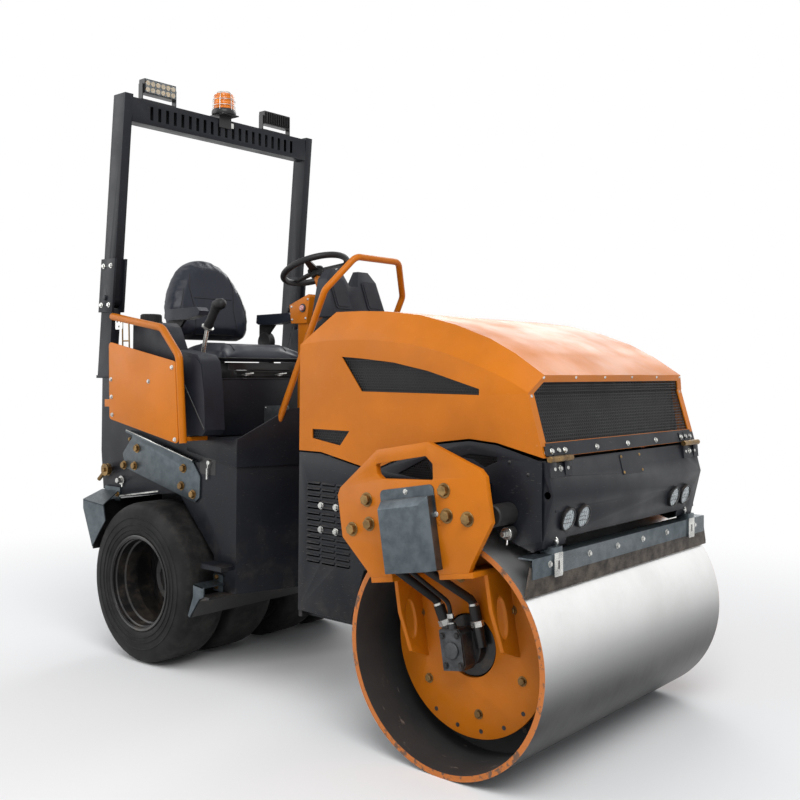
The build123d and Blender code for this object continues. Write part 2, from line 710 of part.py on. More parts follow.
def rear_chassis():
    """Side plates, V-shaped front, floor, wheel well, axle hangers and trunnion tube."""
    tangent = math.sqrt(2)
    chamfer = [(ax(WELL_R * tangent - (WELL_TOP - TYRE_R)), WELL_TOP),
               (ax(WELL_R), TYRE_R + WELL_R * (tangent - 1))]
    side = [
        (FRONT_X, BELLY_Z), (FRONT_X, FLOOR_Z), (ax(150), FLOOR_Z), (ax(100), BOX_TOP),
        (BACK_X, BOX_TOP), (BACK_X, PANEL_FOOT), (BACK_X + 20, TYRE_D + 15), (ax(-299), TYRE_D - 11),
        *chamfer, (ax(WELL_R), BELLY_Z),
    ]
    plate = prism_y(side, REAR_Y - PLATE, REAR_Y)
    body = plate + left(plate)
    deck = [(ax(WELL_R), -REAR_Y), (FRONT_X, -REAR_Y), (APEX_X, 0), (FRONT_X, REAR_Y), (ax(WELL_R), REAR_Y)]
    body += prism_z(deck, BELLY_Z, BELLY_Z + PLATE)
    body += prism_z(deck, FLOOR_Z - PLATE, FLOOR_Z)
    wall = [(FRONT_X, -REAR_Y), (APEX_X, 0), (FRONT_X, REAR_Y)]
    wall += [(x - PLATE - 1, y) for x, y in reversed(wall)]
    body += prism_z(wall, BELLY_Z, FLOOR_Z)
    body += block(ax(WELL_R), ax(WELL_R) + PLATE, -REAR_Y, REAR_Y, BELLY_Z, WELL_TOP + PLATE)
    body += block(BACK_X + 20, ax(WELL_R) + PLATE, -REAR_Y, REAR_Y, WELL_TOP, WELL_TOP + PLATE)
    body += block(BACK_X, BACK_X + PLATE, -REAR_Y, REAR_Y, PANEL_FOOT, BOX_TOP)
    back = [(BACK_X, PANEL_FOOT), (BACK_X + 20, WELL_TOP)]
    back += [(x + PLATE, z) for x, z in reversed(back)]
    body += prism_y(back, -REAR_Y, REAR_Y)
    for side in (-1, 1):
        low, high = side * HANGER_Y - HANGER_T / 2, side * HANGER_Y + HANGER_T / 2
        foot = TYRE_R - 85
        shape = [(ax(-150), WELL_TOP), (ax(-80), foot), (ax(80), foot), (ax(150), WELL_TOP)]
        leg = prism_y(shape, low, high, 30)
        leg += block(ax(-150), ax(150), low, high, WELL_TOP - 60, WELL_TOP)
        leg -= rod_y(AXLE_X, TYRE_R, low - 1, high + 1, AXLE_R + PIN_CLEAR)
        body += leg
    eye = [(BACK_X - 2 * REAR_EYE_R, -12), (BACK_X - 2 * REAR_EYE_R, 12), (BACK_X - REAR_EYE_R, 25),
           (BACK_X + 1, 25), (BACK_X + 1, -25), (BACK_X - REAR_EYE_R, -25)]
    eye_x = BACK_X - REAR_EYE_R
    for y in (-REAR_EYE_Y, REAR_EYE_Y):
        low, high = y - PLATE / 2, y + PLATE / 2
        body += prism_y([(x, REAR_EYE_Z + z) for x, z in eye], low, high)
        body -= rod_y(eye_x, REAR_EYE_Z, low - 1, high + 1, REAR_EYE_R - 4)
    tube_end = APEX_X + 60
    recess = APEX_X - 55
    body += rod((recess, 0, PIVOT_Z), (tube_end, 0, PIVOT_Z), TRUNNION_R + TRUNNION_WALL)
    body -= rod((APEX_X - 100, 0, PIVOT_Z), (tube_end + 1, 0, PIVOT_Z), TRUNNION_R + PIN_CLEAR)
    body -= rod((APEX_X - 100, 0, PIVOT_Z), (recess, 0, PIVOT_Z), TRUNNION_R + TRUNNION_WALL - 4)
    return body


def rim_face():
    """Outer face of the front rim, from the right corner over the apex to the left corner."""
    out_y = REAR_Y + RIM_PLATE
    return [(FRONT_X + RIM_PLATE, -out_y), (APEX_X + RIM_PLATE, 0), (FRONT_X + RIM_PLATE, out_y)]


def platform_rim():
    """Raised rim round the driver's floor, higher across the front."""
    out_y = REAR_Y + RIM_PLATE
    inside = [(FRONT_X, out_y), (FRONT_X, REAR_Y), (APEX_X, 0), (FRONT_X, -REAR_Y), (FRONT_X, -out_y)]
    band = prism_z(rim_face() + inside, CREASE_Z, RIM_TOP)
    lip = FLOOR_Z + 1
    above = RIM_TOP + 5
    slope = [(-out_y - 5, above), (-out_y - 5, lip), (-REAR_Y, lip), (-RIM_BEND_Y, RIM_TOP),
             (-RIM_BEND_Y, above)]
    trim = prism_x(slope, FRONT_X - 20, APEX_X + 20)
    band = band - trim - left(trim)
    side = [(ax(168), FLOOR_Z + 7), (FRONT_X, lip), (FRONT_X, CREASE_Z), (ax(168), CREASE_Z + 47)]
    sill = prism_y(side, -out_y, -REAR_Y)
    return band + sill + left(sill)


def seat_box():
    """Closed box under the seat, as high as the side plates."""
    inner = REAR_Y - PLATE
    return block(BACK_X + PLATE, ax(BOX_FRONT_X), -inner, inner, FLOOR_Z, BOX_TOP)


def seat_slides():
    """Slide rails and pan between the box and the cushion, with the backrest's bracket."""
    top = SEAT_PAN_Z + SEAT_PAN_T
    pan = block(ax(-120), ax(160), -SLIDE_HALF, SLIDE_HALF, SEAT_PAN_Z, top)
    for side in (-1, 1):
        low, high = sorted((side * SLIDE_HALF, side * (SLIDE_HALF - 30)))
        pan += block(ax(-130), ax(180), low, high, BOX_TOP, SEAT_PAN_Z)
    pan += block(ax(-200), ax(-119), -60, 60, SEAT_PAN_Z, SEAT_PAN_Z + 20)
    pan += block(ax(-200), ax(-165), -60, 60, SEAT_PAN_Z, CUSHION_TOP + 24)
    return pan - Pos(0, 0, -SEAT_CLEAR) * seat_back()


def seat_cushion():
    """Seat cushion as a plain closed solid."""
    outline = [(ax(-118), CUSHION_Z), (ax(180), CUSHION_Z), (ax(196), CUSHION_Z + 22),
               (ax(176), CUSHION_TOP - 12), (ax(-118), CUSHION_TOP)]
    return prism_y(outline, -SEAT_HALF, SEAT_HALF)


def seat_back():
    """Backrest as a plain closed solid that narrows to its top."""
    height = 406
    outline = [(-SEAT_HALF, 0), (SEAT_HALF, 0), (SEAT_HALF, height - 216), (150, height - 26), (90, height),
               (-90, height), (-150, height - 26), (-SEAT_HALF, height - 216)]
    slab = prism_x(outline, 0, 88)
    return Pos(ax(-233), 0, CUSHION_TOP + 6) * Rot(0, -12.7, 0) * slab


def armrests():
    """Two padded armrests on brackets that rise beside the cushion."""
    inner = SEAT_HALF + 6
    rest = block(ax(-154), ax(84), -inner - ARMREST_W + 4, -inner + 4, ARMREST_Z, ARMREST_Z + ARMREST_T)
    rest += block(ax(-150), ax(-90), -inner - 21, -inner, SEAT_PAN_Z + 6, ARMREST_Z + 1)
    rest += block(ax(-118), ax(-60), -inner - 21, -SLIDE_HALF, SEAT_PAN_Z + 6, CUSHION_Z - 1)
    return both(rest)


def side_tank():
    """Right side tank: tall behind, lower in front, with a filler cap."""
    outline = [
        (ax(-90), TANK_FOOT), (ax(320), TANK_FOOT), (ax(360), TANK_FOOT + 30), (ax(352), 1180),
        (ax(324), 1236), (ax(130), 1274), (ax(66), TANK_TOP - 14), (ax(40), TANK_TOP),
        (ax(-90), TANK_TOP + 4),
    ]
    tank = prism_y(outline, -TANK_OUT, -TANK_IN, 18)
    mid = -(TANK_OUT + TANK_IN) / 2
    return tank + rod((ax(-25), mid, TANK_TOP - 10), (ax(-25), mid, TANK_TOP + 36), TANK_CAP_R)


def side_guard():
    """Right guard: sloping sheet, tube handrail along its top and front, and its two arms."""
    rail_y = -GUARD_Y + RAIL_R
    sheet = [(ax(-171), 1311), (ax(-159), 990), (ax(307), 909), (ax(281), 1229)]
    guard = prism_y(sheet, -GUARD_Y, -GUARD_Y + GUARD_T, 16)
    rail_start = FOLD_PLATE_LOW - RAIL_R - 4
    route = [(lean_x(rail_start) + 1.5, rail_y, rail_start), (ax(175), rail_y, 1363),
             (ax(287), rail_y, 1250), (ax(318), rail_y, TANK_FOOT - 27)]
    guard += tube(route, RAIL_R, 60)
    guard += block(ax(250), ax(300), -GUARD_Y + 1, -REAR_Y - RIM_PLATE, TANK_FOOT - 22, TANK_FOOT - 6)
    post_face = lean_x(1070) + SEAT_CLEAR
    guard += block(post_face, ax(-140), -GUARD_Y + 1, -POST_OUT + 15, 1040, 1070)
    return guard


def bracket_plate():
    """Right galvanised plate bolted over the side plate, with a narrow top flange."""
    outline = [(-277, 831), (-207, 904), (-207, 924), (206, 832), (258, 768), (255, 685),
               (225, 663), (-257, 770)]
    plate = prism_y([(ax(x), z) for x, z in outline], -REAR_Y - PLATE, -REAR_Y)
    flange = [(-225, 932), (234, 831), (234, 825), (-225, 926)]
    return plate + prism_y([(ax(x), z) for x, z in flange], -REAR_Y - 30, -REAR_Y)


def steering_column():
    """Orange column and sheet box under the wheel, with the shaft."""
    post = block(ax(440), ax(500), -COLUMN_HALF, COLUMN_HALF, FLOOR_Z, COLUMN_TOP)
    box = [(ax(408), COLUMN_TOP), (ax(500), COLUMN_TOP), (ax(518), COLUMN_TOP + 108),
           (ax(510), COLUMN_TOP + 120), (ax(396), COLUMN_TOP + 78)]
    tilt = math.radians(WHEEL_TILT)
    top = Vector(ax(WHEEL_X), 0, WHEEL_Z)
    way = Vector(-math.sin(tilt), 0, math.cos(tilt))
    shaft = rod(tuple(top - way * 190), tuple(top - way * (WHEEL_HUB_LOW + RUN_CLEAR)), COLUMN_R)
    shaft += rod(tuple(top - way * 60), tuple(top - way * 6), COLUMN_R / 2)
    return post + prism_y(box, -COLUMN_HALF - 10, COLUMN_HALF + 10) + shaft


def steering_wheel():
    """Rim, three spokes and hub on the tilted axis."""
    middle = WHEEL_R - WHEEL_GRIP_R
    wheel = revolve(Plane.XZ * Pos(middle, 0) * Circle(WHEEL_GRIP_R), axis=Axis.Z, revolution_arc=360)
    wheel += rod((0, 0, -WHEEL_HUB_LOW), (0, 0, 1), 26)
    for step in range(3):
        wheel += Rot(0, 0, 120 * step + 60) * rod((18, 0, -10), (middle - 3, 0, 0), 8)
    wheel -= rod((0, 0, -WHEEL_HUB_LOW - 1), (0, 0, -3), COLUMN_R / 2 + PIN_CLEAR)
    return Pos(ax(WHEEL_X), 0, WHEEL_Z) * Rot(0, -WHEEL_TILT, 0) * wheel


def console():
    """Instrument housing with two raised lobes on a narrow foot behind the front wall."""
    back, front = ax(560), ax(749)
    half, top = CONSOLE_HALF, CONSOLE_TOP
    lobe = [(half, CONSOLE_FOOT), (half - 7, top - 42), (half - 40, top), (52, top), (24, top - 66)]
    shape = prism_x(lobe + [(-y, z) for y, z in reversed(lobe)], back, front)
    wide = half + 10
    below, above = CONSOLE_FOOT - 1, top + 18
    ahead = [(front + 1, below), (front + 1, above), (front - 74, above), (front, CONSOLE_FOOT + 15)]
    behind = [(back - 1, below), (back + 60, below), (back + 96, above), (back - 1, above)]
    shape -= prism_y(ahead, -wide, wide)
    shape -= prism_y(behind, -wide, wide)
    foot_half = COLUMN_HALF + 36
    foot_front = wall_x(foot_half) - PLATE - 3
    foot = block(ax(522), foot_front, -foot_half, foot_half, FLOOR_Z, CONSOLE_FOOT - 60)
    neck = [(ax(522), CONSOLE_FOOT - 62), (foot_front, CONSOLE_FOOT - 62), (back + 100, CONSOLE_FOOT + 1),
            (back + 61, CONSOLE_FOOT + 1)]
    return shape + foot + prism_y(neck, -foot_half, foot_half)


def grab_hoop():
    """Tube hoop before the console, in one leaning plane, its feet on the front wall's face."""
    foot_z = RIM_TOP - 60
    bend_x = fx(-853)
    foot_x = bend_x - HOOP_LEAN * (HOOP_BEND_Z - foot_z)
    top_x = bend_x + HOOP_LEAN * (HOOP_TOP_Z - HOOP_BEND_Z)
    route = [
        (foot_x, -HOOP_HALF, foot_z), (bend_x, -HOOP_HALF, HOOP_BEND_Z),
        (top_x, -HOOP_TOP_HALF, HOOP_TOP_Z), (top_x, HOOP_TOP_HALF, HOOP_TOP_Z),
        (bend_x, HOOP_HALF, HOOP_BEND_Z), (foot_x, HOOP_HALF, foot_z),
    ]
    hoop = tube(route, HOOP_R, 45)
    behind = [(FRONT_X - 80, REAR_Y), (FRONT_X - 80, -REAR_Y)]
    return hoop - prism_z(rim_face() + behind, foot_z - 60, RIM_TOP - 10)


def control_lever():
    """Travel lever on the seat's right with a grip."""
    y = -330
    base = block(ax(110), ax(210), y - 42, y + 30, BOX_TOP, BOX_TOP + 22)
    shaft = rod((ax(158), y, BOX_TOP + 10), (ax(196), y, 1374), 9)
    return base + shaft + rod((ax(195), y, 1370), (ax(268), y, 1482), 21)


def tyre_scrapers():
    """Bars, end plates and hangers that hold the scrapers before and behind the tyres."""
    reach, tip, top = TYRE_R, TYRE_R + 12, WELL_TOP
    rear = [(-reach - 66, top - 64), (-reach - 11, top - 64), (-reach - 11, top - 147),
            (-tip + 15, TYRE_R + 100), (-tip + 9, TYRE_R + 100), (-reach - 20, top - 147),
            (-reach - 66, top - 92)]
    bar = prism_y([(ax(x), z) for x, z in rear], -TYRES_Y, TYRES_Y)
    end_shape = [(-reach - 66, top - 64), (-reach + 87, top - 29), (-reach + 165, top - 42),
                 (-reach + 89, top - 120), (-reach - 11, top - 147), (-reach - 66, top - 92)]
    end_plate = prism_y([(ax(x), z) for x, z in end_shape], -TYRES_Y, -TYRES_Y + RIM_PLATE)
    hanger_y = -REAR_Y + 2 * PLATE + 7
    hanger = block(ax(-reach - 66), ax(-reach - 15), hanger_y - PLATE, hanger_y, top - 65, top)
    rear_set = bar + end_plate + left(end_plate) + hanger + left(hanger)
    front = [(reach + 119, BELLY_Z), (reach + 119, BELLY_Z - 8), (reach + 59, BELLY_Z - 22),
             (tip - 2, BELLY_Z - 94), (tip - 10, BELLY_Z - 90), (reach + 49, BELLY_Z - 14),
             (reach + 53, BELLY_Z)]
    return group(rear_set, prism_y([(ax(x), z) for x, z in front], -TYRES_Y, TYRES_Y))


def rear_grips():
    """Black grips behind the back panel."""
    y, z = -350, 1030
    return both(rod((BACK_X, y, z), (ax(-REAR_OVERHANG), y, z), 17))


# Safety frame

def lean_x(z):
    """Front face of the leaning posts at a height."""
    return fx(POST_TOP_X) - (POST_TOP - z) * math.tan(math.radians(POST_LEAN))


def fold_x():
    """Station of the fold pin."""
    return lean_x(FOLD_Z) - POST_D / 2


def post_run(low, high, y_out, y_in):
    """Stretch of a leaning post between two heights."""
    outline = [(lean_x(low) - POST_D, low), (lean_x(low), low), (lean_x(high), high),
               (lean_x(high) - POST_D, high)]
    return prism_y(outline, -y_out, -y_in)


def frame_base():
    """Fixed stubs of the safety frame with their feet, fold plates and pins."""
    foot_top = BOX_TOP + FOOT_PLATE_T
    base = post_run(foot_top, STUB_TOP, POST_OUT, POST_IN)
    foot_back, foot_front = lean_x(foot_top) - POST_D - 10, lean_x(foot_top) + 10
    base += block(foot_back, foot_front, -POST_OUT, -REAR_Y + 4 * PLATE, BOX_TOP, foot_top)
    out_face, in_face = POST_OUT + SEAT_CLEAR, POST_IN - SEAT_CLEAR
    low, high = FOLD_PLATE_LOW, FOLD_PLATE_HIGH
    shape = [(lean_x(low) - POST_D - 6, low), (lean_x(low) + 12, low), (lean_x(high) + 12, high),
             (lean_x(high) - POST_D - 6, high)]
    base += prism_y(shape, -out_face - FOLD_PLATE_T, -out_face)
    base += prism_y(shape, -in_face, -in_face + FOLD_PLATE_T)
    base += block(lean_x(low) - POST_D, lean_x(low), -out_face - 1, -in_face + 1, low + 1, STUB_TOP)
    pin_out, pin_in = out_face + FOLD_PLATE_T + 8, in_face - FOLD_PLATE_T - 8
    base += rod_y(fold_x(), FOLD_Z, -pin_out, -pin_in, FOLD_PIN_R)
    return both(base)


def safety_frame():
    """Two leaning posts with a slotted cross beam, pinned to fold back."""
    post = post_run(FOLD_Z, POST_TOP, POST_OUT, POST_IN)
    end_r = POST_D / 2 * math.cos(math.radians(POST_LEAN))
    post += rod_y(fold_x(), FOLD_Z, -POST_OUT, -POST_IN, end_r)
    post -= rod_y(fold_x(), FOLD_Z, -POST_OUT - 1, -POST_IN + 1, FOLD_PIN_R + PIN_CLEAR)
    face = lean_x(POST_TOP) - 6
    top, low, wall = POST_TOP - 10, POST_TOP - 10 - BEAM_H, BEAM_WALL
    beam = block(face - BEAM_D, face, -POST_IN, POST_IN, low, top)
    beam -= block(face - BEAM_D + wall, face - wall, -POST_IN + 20, POST_IN - 20, low + wall, top - wall)
    slot_count, slot_pitch, slot_half = 21, 40.6, 8
    for step in range(slot_count):
        y = (step - slot_count // 2) * slot_pitch
        beam -= block(face - 10, face + 1, y - slot_half, y + slot_half, low + 22, top - 24)
    return post + left(post) + beam


def work_lamps():
    """Two bar lamps standing on the cross beam."""
    face, top = lean_x(POST_TOP) - 6, POST_TOP - 10
    lamps = []
    for y in (-366, 310):
        lamp = block(face - 40, face + 10, y - 82, y + 82, top + 26, top + 88)
        lamp += block(face - 30, face - 24, y - 60, y + 60, top, top + 27)
        lamps.append(lamp)
    return group(*lamps)


def beacon():
    """Warning beacon on a bracket before the cross beam."""
    face, top = lean_x(POST_TOP) - 6, POST_TOP - 10
    seat = top + 18
    bracket = block(face, face + 5, -45, 25, top - 40, seat)
    bracket += block(face - 50, face + 46, -55, 35, seat - SHEET, seat)
    lamp = rod((face, -15, seat), (face, -15, seat + 22), 58)
    lamp += rod((face, -15, seat + 22), (face, -15, seat + 108), 48)
    return bracket + lamp


# Wheels

def tyre(middle):
    """Smooth tyre with rounded shoulders, its bore on the rim."""
    half, shoulder, bead = TYRE_W / 2, TYRE_SHOULDER, 24
    right_edge = [(RIM_R, bead - half), (RIM_R + 34, -half), (TYRE_R - shoulder, -half),
                  (TYRE_R, shoulder - half)]
    outline = right_edge + [(r, -y) for r, y in reversed(right_edge)]
    face = make_face(Polyline(*[(AXLE_X + r, middle + y, TYRE_R) for r, y in outline], close=True).edges())
    return revolve(face, axis=Axis((AXLE_X, 0, TYRE_R), (0, 1, 0)), revolution_arc=360)


def wheel_set(side):
    """Rims of a pair of tyres, joined by the hub shaft that turns in the hanger."""
    disc_reach = HANGER_T / 2 + 24
    barrel_half = TYRE_W / 2 - 10
    wheels = rod_y(AXLE_X, TYRE_R, side * HANGER_Y - disc_reach, side * HANGER_Y + disc_reach, AXLE_R)
    for middle, disc in ((INNER_TYRE_Y, HANGER_Y - disc_reach), (OUTER_TYRE_Y, HANGER_Y + disc_reach)):
        wheels += ring_y(AXLE_X, TYRE_R, side * middle - barrel_half, side * middle + barrel_half,
                         RIM_R - SEAT_CLEAR, RIM_R - RIM_T)
        low, high = side * disc - WHEEL_DISC_T / 2, side * disc + WHEEL_DISC_T / 2
        wheels += rod_y(AXLE_X, TYRE_R, low, high, RIM_R - RIM_T + 1)
    low, high = sorted((side * (HANGER_Y + disc_reach), side * (HANGER_Y + disc_reach + 36)))
    return wheels + rod_y(AXLE_X, TYRE_R, low, high, HUB_R - 2)


def nodes():
    """Every node by name."""
    carrier = drum_carrier()
    return {
        "drum": drum(),
        "fork_plates": both(fork_plate()),
        "right_drum_carrier": carrier,
        "left_drum_carrier": left(carrier),
        "drum_motors": both(drum_motor()),
        "motor_hoses": both(motor_hoses()),
        "hose_covers": both(hose_cover()),
        "front_chassis": front_chassis(),
        "engine_block": engine_block(),
        "lower_side_panels": both(lower_side_panel()),
        "fenders": both(fender()),
        "front_bumper": front_bumper(),
        "headlamps": headlamps(),
        "drum_scraper": drum_scraper(),
        "hood_shell": hood_shell(),
        "hood_meshes": hood_meshes(),
        "knuckle": knuckle(),
        "rear_chassis": rear_chassis(),
        "platform_rim": platform_rim(),
        "seat_box": seat_box(),
        "seat_slides": seat_slides(),
        "seat_cushion": seat_cushion(),
        "seat_back": seat_back(),
        "armrests": armrests(),
        "side_tanks": both(side_tank()),
        "side_guards": both(side_guard()),
        "bracket_plates": both(bracket_plate()),
        "steering_column": steering_column(),
        "console": console(),
        "grab_hoop": grab_hoop(),
        "control_lever": control_lever(),
        "tyre_scrapers": tyre_scrapers(),
        "rear_grips": rear_grips(),
        "frame_base": frame_base(),
        "safety_frame": safety_frame(),
        "work_lamps": work_lamps(),
        "beacon": beacon(),
        "steering_wheel": steering_wheel(),
        "right_outer_tyre": tyre(-OUTER_TYRE_Y),
        "right_inner_tyre": tyre(-INNER_TYRE_Y),
        "left_inner_tyre": tyre(INNER_TYRE_Y),
        "left_outer_tyre": tyre(OUTER_TYRE_Y),
        "right_wheels": wheel_set(-1),
        "left_wheels": wheel_set(1),
    }


os.makedirs("parts", exist_ok=True)
for name, shape in nodes().items():
    export_step(shape, "parts/" + name + ".step")
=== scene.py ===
"""Looks of a combination roller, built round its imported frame.

Metres. +X is forward, +Y is the driver's left, +Z is up and the ground is z = 0.
"""

import json
import logging
import math
from dataclasses import dataclass, field
from enum import Enum
from typing import Callable, Iterable, Sequence

import bmesh
import bpy
from mathutils import Matrix, Vector
from mathutils.bvhtree import BVHTree


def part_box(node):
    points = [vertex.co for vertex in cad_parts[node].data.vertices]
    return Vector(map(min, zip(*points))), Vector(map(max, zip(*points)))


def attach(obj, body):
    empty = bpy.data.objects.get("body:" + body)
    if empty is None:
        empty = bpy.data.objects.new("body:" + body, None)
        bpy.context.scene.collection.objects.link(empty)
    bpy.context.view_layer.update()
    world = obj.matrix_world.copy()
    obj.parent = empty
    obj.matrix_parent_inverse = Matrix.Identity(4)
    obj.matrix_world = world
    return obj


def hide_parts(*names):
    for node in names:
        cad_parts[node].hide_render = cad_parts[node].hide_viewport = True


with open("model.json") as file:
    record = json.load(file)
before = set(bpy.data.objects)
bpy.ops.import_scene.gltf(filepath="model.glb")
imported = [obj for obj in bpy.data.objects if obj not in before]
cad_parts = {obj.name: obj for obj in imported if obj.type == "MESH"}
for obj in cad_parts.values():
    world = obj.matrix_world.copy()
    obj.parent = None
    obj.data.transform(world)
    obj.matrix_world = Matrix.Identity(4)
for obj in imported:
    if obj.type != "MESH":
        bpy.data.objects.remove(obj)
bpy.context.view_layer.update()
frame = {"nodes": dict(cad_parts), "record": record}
LOG = logging.getLogger("roller")

Point = tuple[float, float, float]
Spot = Sequence[float]
Flat = tuple[float, float]
Rgb = tuple[int, int, int]
Socket = bpy.types.NodeSocket
Mesh = bpy.types.Mesh
Thing = bpy.types.Object

ORIGIN: Point = (0, 0, 0)
FORWARD: Point = (1, 0, 0)
LEFT: Point = (0, 1, 0)
UP: Point = (0, 0, 1)

DRUM_LOW, DRUM_HIGH = (Vector(corner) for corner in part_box("drum"))
DRUM_X = (DRUM_LOW.x + DRUM_HIGH.x) / 2
DRUM_R = (DRUM_HIGH.z - DRUM_LOW.z) / 2
TYRE_LOW, TYRE_HIGH = (Vector(corner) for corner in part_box("right_outer_tyre"))
AXLE_X = (TYRE_LOW.x + TYRE_HIGH.x) / 2
TYRE_R = (TYRE_HIGH.z - TYRE_LOW.z) / 2
FORK_TILT = math.radians(10)
MM = 0.001


def fx(millimetres: float) -> float:
    """Station measured forward from the drum's axis."""
    return DRUM_X + millimetres * MM


def ax(millimetres: float) -> float:
    """Station measured forward from the rear axle."""
    return AXLE_X + millimetres * MM


def forked(u: float, y: float, w: float) -> Vector:
    """Place on the tilted fork, in millimetres forward of, beside and above the drum's axis."""
    cos, sin = math.cos(FORK_TILT), math.sin(FORK_TILT)
    return Vector((DRUM_X + (u * cos - w * sin) * MM, y * MM, DRUM_R + (u * sin + w * cos) * MM))


def linear(red: int, green: int, blue: int) -> tuple[float, float, float, float]:
    """Scene colour of a display colour given in steps of 255."""
    return tuple((c / 255 / 12.92 if c <= 10 else ((c / 255 + 0.055) / 1.055) ** 2.4)
                 for c in (red, green, blue)) + (1.0,)


def turns(count: int) -> list[float]:
    """Angles of equal steps round a circle."""
    return [2 * math.pi * step / count for step in range(count)]


def heading(angle: float) -> Vector:
    """Level direction at an angle from straight ahead."""
    return Vector((math.cos(angle), math.sin(angle), 0))


def metres(corners: Iterable[Flat]) -> list[Flat]:
    """Outline in metres of one in millimetres."""
    return [(first * MM, second * MM) for first, second in corners]


def front_flat(corners: Iterable[Flat]) -> list[Flat]:
    """Side outline in the frame's metres of millimetres from the drum's axis and the ground."""
    return [(fx(along), up * MM) for along, up in corners]


def rear_flat(corners: Iterable[Flat]) -> list[Flat]:
    """Side outline in the frame's metres of millimetres from the rear axle and the ground."""
    return [(ax(along), up * MM) for along, up in corners]


def placed(name: str, data: bpy.types.ID) -> Thing:
    """Object of some data, linked to the scene."""
    thing = bpy.data.objects.new(name, data)
    bpy.context.scene.collection.objects.link(thing)
    return thing


def evaluated(thing: Thing) -> Mesh:
    """Plain mesh of an object with its modifiers."""
    graph = bpy.context.evaluated_depsgraph_get()
    return bpy.data.meshes.new_from_object(thing.evaluated_get(graph), depsgraph=graph)


class Slot(Enum):
    """Material slots of the record."""

    ORANGE = "orange_paint"
    DARK = "dark_paint"
    BLACK = "black_paint"
    DRUM = "drum_steel"
    GALVANISED = "galvanised"
    IRON = "engine_iron"
    MESH = "black_mesh"
    HOSE = "hose_rubber"
    TYRE = "tyre"
    VINYL = "seat_vinyl"
    PLASTIC = "black_plastic"
    TANK = "dark_plastic"
    GLASS = "lamp_glass"
    AMBER = "amber_lens"
    BRIGHT = "bright_zinc"
    YELLOW = "yellow_zinc"


